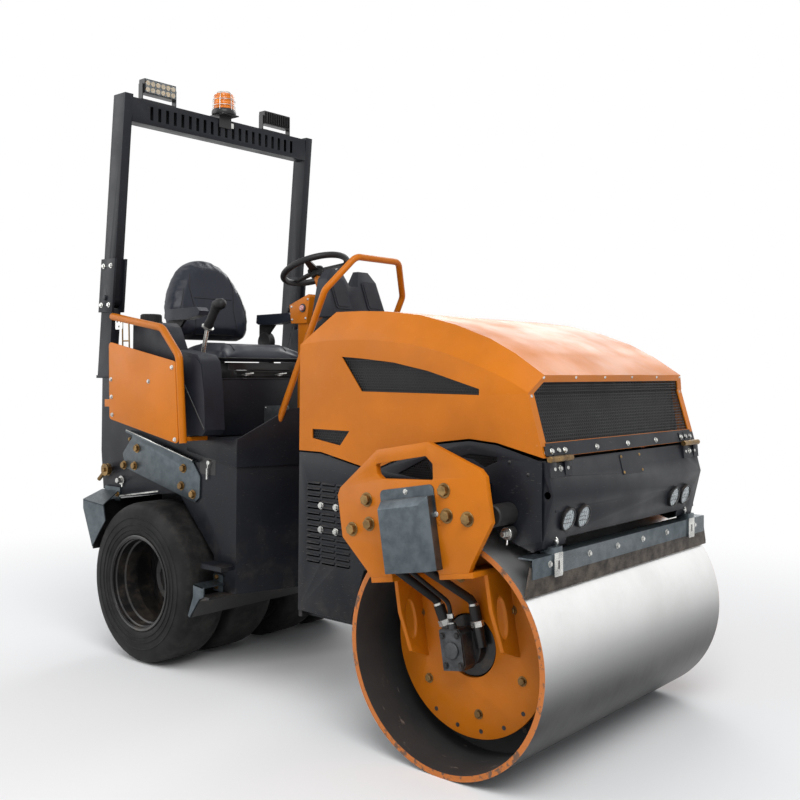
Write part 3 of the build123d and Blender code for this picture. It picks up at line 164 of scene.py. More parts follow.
class Graph:
    """One node material on a Principled shader."""

    def __init__(self, name: str) -> None:
        """Start an empty material.

        Args:
            name: Name of the material.
        """
        self.material = bpy.data.materials.new(name)
        self.material.use_nodes = True
        tree = self.material.node_tree
        self.nodes, self.links = tree.nodes, tree.links
        self.nodes.clear()
        self.shader = self.nodes.new("ShaderNodeBsdfPrincipled")
        out = self.nodes.new("ShaderNodeOutputMaterial")
        self.links.new(self.shader.outputs[0], out.inputs[0])
        self.place = self.nodes.new("ShaderNodeTexCoord").outputs["Object"]

    def feed(self, socket: Socket, value: object) -> None:
        """Link a socket to another, or set its value."""
        if isinstance(value, Socket):
            self.links.new(value, socket)
        else:
            socket.default_value = value

    def math(self, operation: str, first: object, second: object = 0.0) -> Socket:
        """Result of a Math node."""
        node = self.nodes.new("ShaderNodeMath")
        node.operation = operation
        for socket, value in zip(node.inputs, (first, second)):
            self.feed(socket, value)
        return node.outputs[0]

    def times(self, first: object, second: object) -> Socket:
        """Product of two values."""
        return self.math("MULTIPLY", first, second)

    def plus(self, first: object, second: object) -> Socket:
        """Sum of two values."""
        return self.math("ADD", first, second)

    def minus(self, first: object, second: object) -> Socket:
        """First value less the second."""
        return self.math("SUBTRACT", first, second)

    def away(self, first: object, second: object) -> Socket:
        """Distance from zero over two axes."""
        return self.math("SQRT", self.plus(self.math("POWER", first, 2.0), self.math("POWER", second, 2.0)))

    def scaled(self, stretch: Point) -> Socket:
        """Object place, scaled along each axis."""
        node = self.nodes.new("ShaderNodeMapping")
        self.feed(node.inputs["Vector"], self.place)
        node.inputs["Scale"].default_value = stretch
        return node.outputs[0]

    def axes(self) -> tuple[Socket, ...]:
        """The x, y and z of the object place."""
        node = self.nodes.new("ShaderNodeSeparateXYZ")
        self.feed(node.inputs[0], self.place)
        return tuple(node.outputs)

    def noise(self, scale: float, detail: float = 3.0, rough: float = 0.55,
              stretch: Point = (1, 1, 1)) -> Socket:
        """Noise over the object place.

        Args:
            scale: Waves for each metre.
            detail: Octaves.
            rough: Strength of the finer octaves.
            stretch: Scale along each axis.

        Returns:
            The noise's factor.
        """
        node = self.nodes.new("ShaderNodeTexNoise")
        self.feed(node.inputs["Vector"], self.scaled(stretch))
        for name, value in (("Scale", scale), ("Detail", detail), ("Roughness", rough)):
            node.inputs[name].default_value = value
        return node.outputs["Fac"]

    def cells(self, scale: float) -> Socket:
        """Distance to the cells of a Voronoi texture over the object place."""
        node = self.nodes.new("ShaderNodeTexVoronoi")
        self.feed(node.inputs["Vector"], self.place)
        node.inputs["Scale"].default_value = scale
        return node.outputs["Distance"]

    def step(self, value: object, low: float, high: float, dark: float = 0.0, light: float = 1.0) -> Socket:
        """Smooth step of a value.

        Args:
            value: What is read.
            low: Where the step starts.
            high: Where it ends.
            dark: Result below the step.
            light: Result above it.

        Returns:
            The stepped value.
        """
        node = self.nodes.new("ShaderNodeMapRange")
        node.interpolation_type = "SMOOTHSTEP"
        for socket, number in zip(node.inputs[:5], (value, low, high, dark, light)):
            self.feed(socket, number)
        return node.outputs[0]

    def mix(self, factor: object, first: object, second: object) -> Socket:
        """Colour between two colours."""
        node = self.nodes.new("ShaderNodeMix")
        node.data_type = "RGBA"
        self.feed(node.inputs["Factor"], factor)
        colours = [socket for socket in node.inputs if socket.type == "RGBA"]
        self.feed(colours[0], first)
        self.feed(colours[1], second)
        return [socket for socket in node.outputs if socket.type == "RGBA"][0]

    def upward(self) -> Socket:
        """How far the face looks up, from -1 to 1."""
        normal = self.nodes.new("ShaderNodeNewGeometry").outputs["Normal"]
        split = self.nodes.new("ShaderNodeSeparateXYZ")
        self.feed(split.inputs[0], normal)
        return split.outputs[2]

    def bump(self, height: object, strength: float, distance: float) -> None:
        """Bump the shader by a height, over any bump that it has."""
        node = self.nodes.new("ShaderNodeBump")
        node.inputs["Strength"].default_value = strength
        node.inputs["Distance"].default_value = distance
        self.feed(node.inputs["Height"], height)
        normal = self.shader.inputs["Normal"]
        if normal.is_linked:
            self.feed(node.inputs["Normal"], normal.links[0].from_socket)
        self.feed(normal, node.outputs[0])

    def set(self, **values: object) -> None:
        """Set the shader's sockets by name, with _ for a space."""
        for name, value in values.items():
            self.feed(self.shader.inputs[name.replace("_", " ")], value)


@dataclass(frozen=True)
class Paint:
    """Powder coat with orange peel, road dust on what looks up and a few scuffs."""

    slot: Slot
    colour: Rgb
    dust: float = 0.25
    roughness: float = 0.36
    coat: float = 0.25
    gloss: float = 0.35
    grime: Rgb = (122, 108, 92)

    def build(self) -> bpy.types.Material:
        """Node material of the finish."""
        graph = Graph(self.slot.value)
        base = linear(*self.colour)
        shade = tuple(channel * 0.82 for channel in base[:3]) + (1.0,)
        cloud = graph.noise(3.2, 4)
        colour = graph.mix(graph.step(cloud, 0.35, 0.7), shade, base)
        settled = graph.times(graph.step(graph.upward(), 0.2, 0.95),
                              graph.step(graph.noise(9, 6, 0.7), 0.42, 0.72))
        height = graph.axes()[2]
        low = graph.times(graph.step(height, 0.75, 0.1), graph.step(graph.noise(14, 6, 0.7), 0.45, 0.75))
        dust = graph.times(graph.math("MAXIMUM", settled, low), self.dust)
        colour = graph.mix(dust, colour, linear(*self.grime))
        scratch = graph.noise(60, 2, 0.4, (1.0, 1.0, 14.0))
        marks = graph.times(graph.step(scratch, 0.72, 0.76), 0.16)
        colour = graph.mix(marks, colour, linear(196, 186, 172))
        rough = graph.plus(graph.step(graph.noise(7, 5), 0.3, 0.75, self.roughness - 0.06,
                                      self.roughness + 0.1),
                           graph.times(dust, 0.5))
        graph.set(Base_Color=colour, Roughness=rough, Coat_Weight=self.coat, Coat_Roughness=0.12,
                  Specular_IOR_Level=self.gloss)
        graph.bump(graph.noise(420, 2), 0.05, 0.0006)
        return graph.material


@dataclass(frozen=True)
class Metal:
    """Bare or plated metal with cloudy plating and fine scratches."""

    slot: Slot
    colour: Rgb
    shade: Rgb
    roughness: float = 0.32
    spangle: float = 0.0

    def build(self) -> bpy.types.Material:
        """Node material of the finish."""
        graph = Graph(self.slot.value)
        cloud = graph.step(graph.noise(22, 5, 0.6), 0.3, 0.7)
        if self.spangle:
            cloud = graph.plus(graph.times(cloud, 1 - self.spangle),
                               graph.times(graph.cells(70), self.spangle))
        colour = graph.mix(cloud, linear(*self.shade), linear(*self.colour))
        streak = graph.noise(90, 3, 0.5, (1, 1, 9))
        rough = graph.step(streak, 0.3, 0.7, self.roughness - 0.07, self.roughness + 0.12)
        graph.set(Base_Color=colour, Metallic=0.9, Roughness=rough)
        graph.bump(streak, 0.06, 0.0004)
        return graph.material


@dataclass(frozen=True)
class DrumSteel:
    """Rolled steel outside with painted shade, near white where it looks up and near black where it looks
    down; scuffed inside, orange on the edge of the shell.
    """

    slot: Slot = Slot.DRUM
    half_width: float = 0.59

    def build(self) -> bpy.types.Material:
        """Node material of the finish."""
        graph = Graph(self.slot.value)
        x, y, z = graph.axes()
        forward, up = graph.minus(x, DRUM_X), graph.minus(z, DRUM_R)
        radius = graph.away(forward, up)
        inside = graph.step(radius, DRUM_R - 0.002, DRUM_R - 0.006)
        edge = graph.step(graph.math("ABSOLUTE", y), self.half_width - 0.0012, self.half_width - 0.0004)
        rings = graph.noise(1.0, 4, 0.6, (0.4, 160, 0.4))
        stain = graph.step(graph.noise(4, 6, 0.65), 0.4, 0.75)
        # Painted shade: the outside runs from near white on faces that look up to near black on faces that
        # look down.
        shaded = graph.mix(graph.step(graph.upward(), -0.45, 0.6), linear(9, 9, 10), linear(250, 250, 249))
        # Real stains laid over the painted shade.
        painted_shade_and_stain = graph.mix(graph.times(stain, 0.14), shaded, linear(140, 138, 135))
        scuff = graph.step(graph.noise(13, 7, 0.72, (1, 3, 1)), 0.6, 0.74)
        bottom = graph.step(z, 0.32, 0.03)
        scuffed = graph.times(scuff, graph.plus(bottom, 0.12))
        bore = graph.mix(scuffed, graph.mix(graph.noise(8, 5), linear(26, 27, 29), linear(58, 57, 56)),
                         linear(142, 128, 118))
        chips = graph.step(graph.noise(38, 5, 0.7), 0.53, 0.62)
        painted = graph.mix(chips, linear(188, 108, 42), linear(104, 76, 58))
        colour = graph.mix(edge, graph.mix(inside, painted_shade_and_stain, bore), painted)
        bare = graph.times(graph.minus(1.0, inside), graph.minus(1.0, edge))
        rough = graph.plus(graph.step(rings, 0.3, 0.7, 0.3, 0.34), graph.times(inside, 0.35))
        graph.set(Base_Color=colour, Metallic=graph.times(bare, 0.88), Roughness=rough)
        graph.bump(rings, 0.02, 0.0004)
        graph.bump(graph.times(scuff, inside), 0.3, 0.001)
        return graph.material


@dataclass(frozen=True)
class Soft:
    """Rubber, vinyl or moulded plastic with its own grain."""

    slot: Slot
    colour: Rgb
    worn: Rgb
    roughness: float = 0.6
    grain: float = 900.0
    depth: float = 0.15
    sheen: float = 0.0
    dusty: float = 0.3

    def build(self) -> bpy.types.Material:
        """Node material of the finish."""
        graph = Graph(self.slot.value)
        cloud = graph.step(graph.noise(6, 5, 0.6), 0.38, 0.75)
        colour = graph.mix(graph.times(cloud, self.dusty), linear(*self.colour), linear(*self.worn))
        settled = graph.times(graph.step(graph.upward(), 0.3, 1.0),
                              graph.step(graph.noise(18, 6, 0.7), 0.45, 0.8))
        colour = graph.mix(graph.times(settled, self.dusty * 0.5), colour, linear(118, 110, 100))
        rough = graph.step(graph.noise(11, 4), 0.3, 0.7, self.roughness - 0.08, self.roughness + 0.1)
        graph.set(Base_Color=colour, Roughness=rough, Sheen_Weight=self.sheen, Specular_IOR_Level=0.3)
        graph.bump(graph.cells(self.grain), self.depth, 0.0008)
        graph.bump(graph.noise(self.grain * 0.3, 3), self.depth, 0.0006)
        return graph.material


@dataclass(frozen=True)
class TyreRubber:
    """Smooth tyre: rings on the sidewall, grey dust on the tread."""

    slot: Slot = Slot.TYRE
    ripple: float = 1450.0

    def build(self) -> bpy.types.Material:
        """Node material of the finish."""
        graph = Graph(self.slot.value)
        x, _, z = graph.axes()
        forward, up = graph.minus(x, AXLE_X), graph.minus(z, TYRE_R)
        radius = graph.away(forward, up)
        tread = graph.step(radius, TYRE_R - 0.03, TYRE_R - 0.004)
        dust = graph.times(graph.step(graph.noise(16, 7, 0.72), 0.36, 0.7),
                          graph.plus(graph.times(tread, 0.5), 0.22))
        colour = graph.mix(dust, linear(10, 10, 11), linear(48, 46, 44))
        wave = graph.math("SINE", graph.times(radius, self.ripple))
        rings = graph.times(wave, graph.minus(1.0, tread))
        graph.set(Base_Color=colour, Roughness=graph.step(graph.noise(9, 4), 0.3, 0.7, 0.62, 0.8),
                  Specular_IOR_Level=0.3)
        graph.bump(rings, 0.12, 0.001)
        graph.bump(graph.noise(300, 4), 0.22, 0.0012)
        return graph.material


@dataclass(frozen=True)
class Clear:
    """Lamp glass or a coloured lens."""

    slot: Slot
    colour: Rgb
    tint: Rgb
    transmission: float = 0.9
    ribs: float = 0.0

    def build(self) -> bpy.types.Material:
        """Node material of the finish."""
        graph = Graph(self.slot.value)
        colour = graph.mix(graph.noise(40, 3), linear(*self.colour), linear(*self.tint))
        graph.set(Base_Color=colour, Roughness=0.06, Transmission_Weight=self.transmission, IOR=1.49)
        if self.ribs:
            graph.bump(graph.math("SINE", graph.times(graph.axes()[1], self.ribs)), 0.25, 0.001)
        return graph.material


@dataclass(frozen=True)
class Glow:
    """Lit or bright cell inside a lamp; on the headlamp reflectors the glow is a painted reflection."""

    name: str
    colour: Rgb
    strength: float

    def build(self) -> bpy.types.Material:
        """Node material of the finish."""
        graph = Graph(self.name)
        colour = graph.mix(graph.step(graph.noise(300, 2), 0.4, 0.6), linear(*self.colour),
                           (0.5, 0.5, 0.5, 1.0))
        graph.set(Base_Color=colour, Roughness=0.2, Emission_Color=linear(*self.colour),
                  Emission_Strength=self.strength)
        return graph.material


class Finishes:
    """Every finish of the machine, built once and kept by slot."""

    def __init__(self) -> None:
        """Build every material."""
        wanted = [
            Paint(Slot.ORANGE, (200, 112, 14), dust=0.08, roughness=0.38, coat=0.04, gloss=0.2,
                  grime=(170, 136, 100)),
            Paint(Slot.DARK, (25, 27, 33), dust=0.2, roughness=0.42, coat=0.04, gloss=0.22),
            Paint(Slot.BLACK, (24, 24, 26), dust=0.3, roughness=0.4, coat=0.2),
            Paint(Slot.IRON, (38, 38, 40), dust=0.3, roughness=0.55, coat=0.0),
            Paint(Slot.MESH, (20, 20, 22), dust=0.35, roughness=0.45, coat=0.1),
            Metal(Slot.GALVANISED, (98, 106, 111), (76, 84, 89), 0.38, spangle=0.12),
            Metal(Slot.BRIGHT, (214, 214, 210), (160, 160, 158), 0.24),
            Metal(Slot.YELLOW, (156, 126, 80), (104, 82, 54), 0.34),
            DrumSteel(), TyreRubber(),
            Soft(Slot.HOSE, (22, 22, 23), (58, 56, 54), 0.52, 700, 0.12),
            Soft(Slot.VINYL, (25, 29, 41), (46, 50, 64), 0.4, 620, 0.2, sheen=0.05, dusty=0.2),
            Soft(Slot.PLASTIC, (22, 22, 24), (50, 50, 52), 0.5, 1200, 0.12),
            Soft(Slot.TANK, (24, 27, 35), (40, 43, 53), 0.5, 1500, 0.08, dusty=0.2),
            Clear(Slot.GLASS, (232, 238, 240), (205, 214, 218), 0.92, ribs=520.0),
            Clear(Slot.AMBER, (252, 156, 44), (240, 122, 20), 0.35, ribs=900.0),
        ]
        self.by_slot = {finish.slot: finish.build() for finish in wanted}
        self.warm = Glow("warm_cells", (236, 190, 128), 0.35).build()
        # The headlamp reflectors get a faint near-white glow: a painted reflection.
        self.reflector_painted_glow = Glow("reflector_painted_glow", (226, 228, 230), 0.12).build()
        self.red = Glow("red_button", (196, 26, 20), 0.0).build()
        self.worn = Metal(Slot.IRON, (96, 88, 80), (52, 48, 46), 0.5).build()
        self.grey_cast = Metal(Slot.IRON, (92, 94, 96), (60, 61, 63), 0.52).build()

    def __getitem__(self, slot: Slot) -> bpy.types.Material:
        """Material of a slot."""
        return self.by_slot[slot]


FINISH = Finishes()


def smooth(mesh: Mesh, angle: float = 32.0) -> None:
    """Shade a mesh smooth, with sharp edges where its faces turn by more than an angle.

    Args:
        mesh: Mesh to shade.
        angle: Turn in degrees past which an edge stays sharp.
    """
    work = bmesh.new()
    work.from_mesh(mesh)
    for face in work.faces:
        face.smooth = True
    limit = math.radians(angle)
    for edge in work.edges:
        edge.smooth = len(edge.link_faces) == 2 and edge.calc_face_angle(0.0) < limit
    work.to_mesh(mesh)
    work.free()


class Shape:
    """Mesh under construction from simple solids, ending as one object."""

    def __init__(self) -> None:
        """Start with no faces."""
        self.work = bmesh.new()

    def add(self, points: Iterable[Vector], faces: Iterable[Sequence[int]]) -> None:
        """Add points and the faces between them."""
        spots = [self.work.verts.new(point) for point in points]
        for face in faces:
            self.work.faces.new([spots[index] for index in face])

    def prism(self, outline: Sequence[Spot], way: Vector) -> "Shape":
        """Add a closed outline pushed along a vector.

        Args:
            outline: Corners of the outline, in order.
            way: The push.

        Returns:
            This shape.
        """
        count = len(outline)
        low = [Vector(corner) for corner in outline]
        points = low + [corner + way for corner in low]
        faces = [list(range(count))[::-1], list(range(count, 2 * count))]
        faces += [[i, (i + 1) % count, count + (i + 1) % count, count + i] for i in range(count)]
        self.add(points, faces)
        return self

    def prism_y(self, outline: Sequence[Flat], low: float, high: float) -> "Shape":
        """Add a prism along Y from (x, z) corners."""
        return self.prism([(x, low, z) for x, z in outline], Vector((0, high - low, 0)))

    def prism_x(self, outline: Sequence[Flat], low: float, high: float) -> "Shape":
        """Add a prism along X from (y, z) corners."""
        return self.prism([(low, y, z) for y, z in outline], Vector((high - low, 0, 0)))

    def block(self, low: Spot, high: Spot) -> "Shape":
        """Add a box between two corners."""
        x0, y0, z0 = low
        x1, y1, z1 = high
        return self.prism([(x0, y0, z0), (x1, y0, z0), (x1, y1, z0), (x0, y1, z0)], Vector((0, 0, z1 - z0)))

    def lathe(self, profile: Sequence[Flat], centre: Spot, axis: Spot, count: int = 48,
              closed: bool = True) -> "Shape":
        """Add a profile turned about an axis.

        Args:
            profile: Corners as (distance along the axis, radius).
            centre: Where the distance is zero.
            axis: Direction of the axis.
            count: Steps round.
            closed: Whether the last corner joins the first.

        Returns:
            This shape.
        """
        way = Vector(axis).normalized()
        side = way.orthogonal().normalized()
        other = way.cross(side)
        rings = []
        for along, radius in profile:
            middle = Vector(centre) + way * along
            if radius < 1e-6:
                rings.append([self.work.verts.new(middle)])
                continue
            rings.append([self.work.verts.new(middle + (side * math.cos(a) + other * math.sin(a)) * radius)
                          for a in turns(count)])
        pairs = list(zip(rings, rings[1:])) + ([(rings[-1], rings[0])] if closed else [])
        for first, second in pairs:
            for i in range(count):
                j = (i + 1) % count
                corners = [first[i % len(first)], first[j % len(first)], second[j % len(second)],
                           second[i % len(second)]]
                unique = list(dict.fromkeys(corners))
                if len(unique) > 2:
                    self.work.faces.new(unique)
        return self

    def rod(self, start: Spot, end: Spot, radius: float, count: int = 24, lip: float = 0.0) -> "Shape":
        """Add a round bar, with a small chamfer at each end if a lip is given."""
        way = Vector(end) - Vector(start)
        length = way.length
        profile = [(0, 0), (0, radius - lip), (lip, radius), (length - lip, radius), (length, radius - lip),
                   (length, 0)]
        return self.lathe(profile if lip else [profile[0], profile[1], profile[4], profile[5]], start, way,
                          count, False)

    def tube(self, points: Sequence[Spot], radius: float, count: int = 12, closed: bool = False) -> "Shape":
        """Add a round bar along points, without twist.

        Args:
            points: Middle line.
            radius: Radius of the bar.
            count: Steps round.
            closed: Whether the line is a loop.

        Returns:
            This shape.
        """
        line = [Vector(point) for point in points]
        size = len(line)
        rings, side = [], None
        for index, spot in enumerate(line):
            back = line[index - 1] if index or closed else spot
            ahead = line[(index + 1) % size] if index < size - 1 or closed else spot
            way = (ahead - back).normalized()
            side = way.orthogonal() if side is None else side - way * side.dot(way)
            side.normalize()
            other = way.cross(side)
            rings.append([self.work.verts.new(spot + (side * math.cos(a) + other * math.sin(a)) * radius)
                          for a in turns(count)])
        for first, second in list(zip(rings, rings[1:])) + ([(rings[-1], rings[0])] if closed else []):
            for i in range(count):
                self.work.faces.new([first[i], first[(i + 1) % count], second[(i + 1) % count], second[i]])
        if not closed:
            self.work.faces.new(rings[0][::-1])
            self.work.faces.new(rings[-1])
        return self

    def mirrored(self) -> "Shape":
        """Add the twin of everything so far on the other side of the machine."""
        twins = {vert: self.work.verts.new((vert.co.x, -vert.co.y, vert.co.z))
                 for vert in list(self.work.verts)}
        for face in list(self.work.faces):
            self.work.faces.new([twins[vert] for vert in reversed(face.verts)])
        return self

    def turned(self, matrix: Matrix) -> "Shape":
        """Move everything so far by a matrix."""
        bmesh.ops.transform(self.work, matrix=matrix, verts=self.work.verts)
        return self

    def bevel(self, width: float, segments: int = 2, angle: float = 30.0) -> "Shape":
        """Round the edges so far that turn by more than an angle."""
        limit = math.radians(angle)
        edges = [edge for edge in self.work.edges if edge.is_manifold and edge.calc_face_angle(0.0) > limit]
        bmesh.ops.bevel(self.work, geom=edges, offset=width, segments=segments, profile=0.5, affect="EDGES",
                        clamp_overlap=True)
        return self

    def mesh(self, name: str, angle: float = 32.0) -> Mesh:
        """Finish the mesh, faces outwards and shaded."""
        bmesh.ops.recalc_face_normals(self.work, faces=self.work.faces)
        mesh = bpy.data.meshes.new(name)
        self.work.to_mesh(mesh)
        self.work.free()
        smooth(mesh, angle)
        return mesh

    def piece(self, name: str, slot: Slot, body: str, replaces: Sequence[str] = (),
              angle: float = 32.0) -> Thing:
        """Finish as a dressed piece that rides on a body.

        Args:
            name: Name of the piece.
            slot: Its finish.
            body: Body that it moves with.
            replaces: Nodes that it stands for.
            angle: Turn past which an edge stays sharp.

        Returns:
            The object.
        """
        return settle(self.mesh(name, angle), name, slot, body, replaces)


def settle(mesh: Mesh, name: str, slot: Slot, body: str, replaces: Sequence[str] = (),
           material: bpy.types.Material | None = None) -> Thing:
    """Put a finished mesh in the scene and tie it to its body.

    Args:
        mesh: Mesh in the frame's place.
        name: Name of the piece.
        slot: Its finish.
        body: Body that it moves with.
        replaces: Nodes that it stands for.
        material: Another material for the same slot.

    Returns:
        The object.
    """
    mesh.materials.clear()
    mesh.materials.append(material or FINISH[slot])
    thing = placed(name, mesh)
    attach(thing, body)
    if replaces:
        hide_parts(*replaces)
    LOG.info("piece %s on %s, %d faces", name, body, len(mesh.polygons))
    return thing


class NodeTree:
    """Geometry node tree with named inputs."""

    def __init__(self, name: str, inputs: dict[str, str]) -> None:
        """Start a tree.

        Args:
            name: Name of the tree.
            inputs: Socket type of each named input, beside the geometry.
        """
        self.tree = bpy.data.node_groups.new(name, "GeometryNodeTree")
        face = self.tree.interface
        face.new_socket("Geometry", in_out="INPUT", socket_type="NodeSocketGeometry")
        self.sockets = {title: face.new_socket(title, in_out="INPUT", socket_type=kind)
                        for title, kind in inputs.items()}
        face.new_socket("Geometry", in_out="OUTPUT", socket_type="NodeSocketGeometry")
        self.enter = self.tree.nodes.new("NodeGroupInput")
        self.leave = self.tree.nodes.new("NodeGroupOutput")

    def add(self, kind: str, links: dict[object, object] | None = None, **settings: object) -> bpy.types.Node:
        """Add a node.

        Args:
            kind: Type of node.
            links: Value or socket for inputs, by name or number.
            settings: Properties of the node.

        Returns:
            The node.
        """
        node = self.tree.nodes.new(kind)
        for name, value in settings.items():
            setattr(node, name, value)
        for key, value in (links or {}).items():
            if isinstance(value, Socket):
                self.tree.links.new(value, node.inputs[key])
            else:
                node.inputs[key].default_value = value
        return node

    def math(self, operation: str, first: object, second: object = 0.0) -> Socket:
        """Result of a Math node."""
        return self.add("ShaderNodeMath", {0: first, 1: second}, operation=operation).outputs[0]

    def vector(self, operation: str, first: object, second: object) -> Socket:
        """Result of a Vector Math node."""
        return self.add("ShaderNodeVectorMath", {0: first, 1: second}, operation=operation).outputs[0]

    def close(self, geometry: Socket, material: Socket) -> None:
        """End the tree in Realize Instances and Set Material."""
        real = self.add("GeometryNodeRealizeInstances", {"Geometry": geometry})
        dressed = self.add("GeometryNodeSetMaterial", {"Geometry": real.outputs[0], "Material": material})
        self.tree.links.new(dressed.outputs[0], self.leave.inputs[0])

    def bake(self, mesh: Mesh, values: dict[str, object]) -> Mesh:
        """Run the tree on a mesh.

        Args:
            mesh: Geometry that goes in.
            values: Value of each named input.

        Returns:
            Plain mesh that comes out.
        """
        carrier = placed("carrier", mesh)
        modifier = carrier.modifiers.new("nodes", "NODES")
        modifier.node_group = self.tree
        for title, value in values.items():
            modifier[self.sockets[title].identifier] = value
        result = evaluated(carrier)
        bpy.data.objects.remove(carrier)
        return result


class HexMesh:
    """Perforated sheet with hexagonal holes, filling a flat outline."""

    HOLE = 0.78
    THICKNESS = 0.0009

    def __init__(self) -> None:
        """Build the tree: hexagon rings on a staggered grid, kept where the outline lies behind them."""
        tree = NodeTree("hex_mesh", {"Pitch": "NodeSocketFloat", "Hole": "NodeSocketFloat",
                                     "Thickness": "NodeSocketFloat", "Material": "NodeSocketMaterial"})
        enter = tree.enter.outputs
        box = tree.add("GeometryNodeBoundBox", {"Geometry": enter["Geometry"]})
        size = tree.vector("SUBTRACT", box.outputs["Max"], box.outputs["Min"])
        doubled = tree.vector("ADD", box.outputs["Max"], box.outputs["Min"])
        centre = tree.vector("MULTIPLY", doubled, (0.5, 0.5, 0.5))
        axes = tree.add("ShaderNodeSeparateXYZ", {0: size})
        pitch = enter["Pitch"]
        row = tree.math("MULTIPLY", pitch, math.sqrt(3) / 2)
        across = tree.math("ADD", tree.math("CEIL", tree.math("DIVIDE", axes.outputs[0], pitch)), 2.0)
        down = tree.math("ADD", tree.math("CEIL", tree.math("DIVIDE", axes.outputs[1], row)), 2.0)
        grid = tree.add("GeometryNodeMeshGrid", {
            "Size X": tree.math("MULTIPLY", tree.math("SUBTRACT", across, 1.0), pitch),
            "Size Y": tree.math("MULTIPLY", tree.math("SUBTRACT", down, 1.0), row),
            "Vertices X": across, "Vertices Y": down})
        place = tree.add("ShaderNodeSeparateXYZ", {0: tree.add("GeometryNodeInputPosition").outputs[0]})
        number = tree.math("ROUND", tree.math("DIVIDE", place.outputs[1], row))
        odd = tree.math("ABSOLUTE", tree.math("MODULO", number, 2.0))
        shift = tree.add("ShaderNodeCombineXYZ",
                         {0: tree.math("MULTIPLY", odd, tree.math("MULTIPLY", pitch, 0.5))})
        both = tree.vector("ADD", shift.outputs[0], centre)
        spots = tree.add("GeometryNodeSetPosition", {"Geometry": grid.outputs["Mesh"], "Offset": both})
        lifted = tree.vector("ADD", tree.add("GeometryNodeInputPosition").outputs[0], (0, 0, 0.1))
        ray = tree.add("GeometryNodeRaycast",
                       {"Target Geometry": enter["Geometry"], "Source Position": lifted,
                        "Ray Direction": (0, 0, -1), "Ray Length": 1.0})
        missed = tree.add("FunctionNodeBooleanMath", {0: ray.outputs["Is Hit"]}, operation="NOT")
        kept = tree.add("GeometryNodeDeleteGeometry",
                        {"Geometry": spots.outputs[0], "Selection": missed.outputs[0]})
        cell = tree.add("GeometryNodeMeshCircle",
                        {"Vertices": 6, "Radius": tree.math("DIVIDE", pitch, math.sqrt(3))},
                        fill_type="NGON")
        upright = tree.add("GeometryNodeTransform",
                           {"Geometry": cell.outputs[0], "Rotation": (0, 0, math.pi / 6)})
        split = tree.add("GeometryNodeExtrudeMesh", {"Mesh": upright.outputs[0], "Offset Scale": 0.0},
                         mode="FACES")
        shrunk = tree.add("GeometryNodeScaleElements",
                          {"Geometry": split.outputs["Mesh"], "Selection": split.outputs["Top"],
                           "Scale": enter["Hole"]})
        ring = tree.add("GeometryNodeDeleteGeometry",
                        {"Geometry": shrunk.outputs[0], "Selection": split.outputs["Top"]},
                        domain="FACE", mode="ONLY_FACE")
        copies = tree.add("GeometryNodeInstanceOnPoints",
                          {"Points": kept.outputs[0], "Instance": ring.outputs[0]})
        real = tree.add("GeometryNodeRealizeInstances", {"Geometry": copies.outputs[0]})
        joined = tree.add("GeometryNodeMergeByDistance", {"Geometry": real.outputs[0], "Distance": 0.0002})
        thick = tree.add("GeometryNodeExtrudeMesh",
                         {"Mesh": joined.outputs[0], "Offset Scale": enter["Thickness"],
                          "Individual": False}, mode="FACES")
        tree.close(thick.outputs["Mesh"], enter["Material"])
        self.tree = tree

    def sheet(self, outline: Sequence[Flat], place: Matrix, pitch: float) -> Mesh:
        """Perforate one flat outline.

        Args:
            outline: Corners in the sheet's own plane.
            place: Where that plane goes in the frame.
            pitch: Distance between holes.

        Returns:
            Mesh of the perforated sheet.
        """
        mesh = bpy.data.meshes.new("outline")
        mesh.from_pydata([(x, y, 0.0) for x, y in outline], [], [list(range(len(outline)))])
        result = self.tree.bake(mesh, {"Pitch": pitch, "Hole": self.HOLE, "Thickness": self.THICKNESS,
                                       "Material": FINISH[Slot.MESH]})
        result.transform(place)
        return result


@dataclass(frozen=True)
class Fastener:
    """Head of a screw or bolt for a shaft of radius one, made by turning a profile."""

    name: str
    washer: float
    head: float
    height: float
    sides: int
    domed: bool = False

    def mesh(self) -> Mesh:
        """Template mesh, standing on z = 0."""
        shape = Shape()
        base = 0.0
        if self.washer:
            shape.lathe([(0, 0), (0, self.washer), (0.18, self.washer), (0.24, self.washer - 0.06),
                         (0.24, 0)], ORIGIN, UP, 20, False)
            base = 0.24
        top = base + self.height
        if self.domed:
            profile = [(base, 0), (base, self.head), (base + 0.3 * self.height, self.head * 0.93),
                       (base + 0.7 * self.height, self.head * 0.66), (top, self.head * 0.25), (top, 0)]
        else:
            profile = [(base, 0), (base, self.head), (top - 0.14, self.head), (top, self.head - 0.22),
                       (top, 0)]
        shape.lathe(profile, ORIGIN, UP, self.sides, False)
        return shape.mesh(self.name, 25.0)


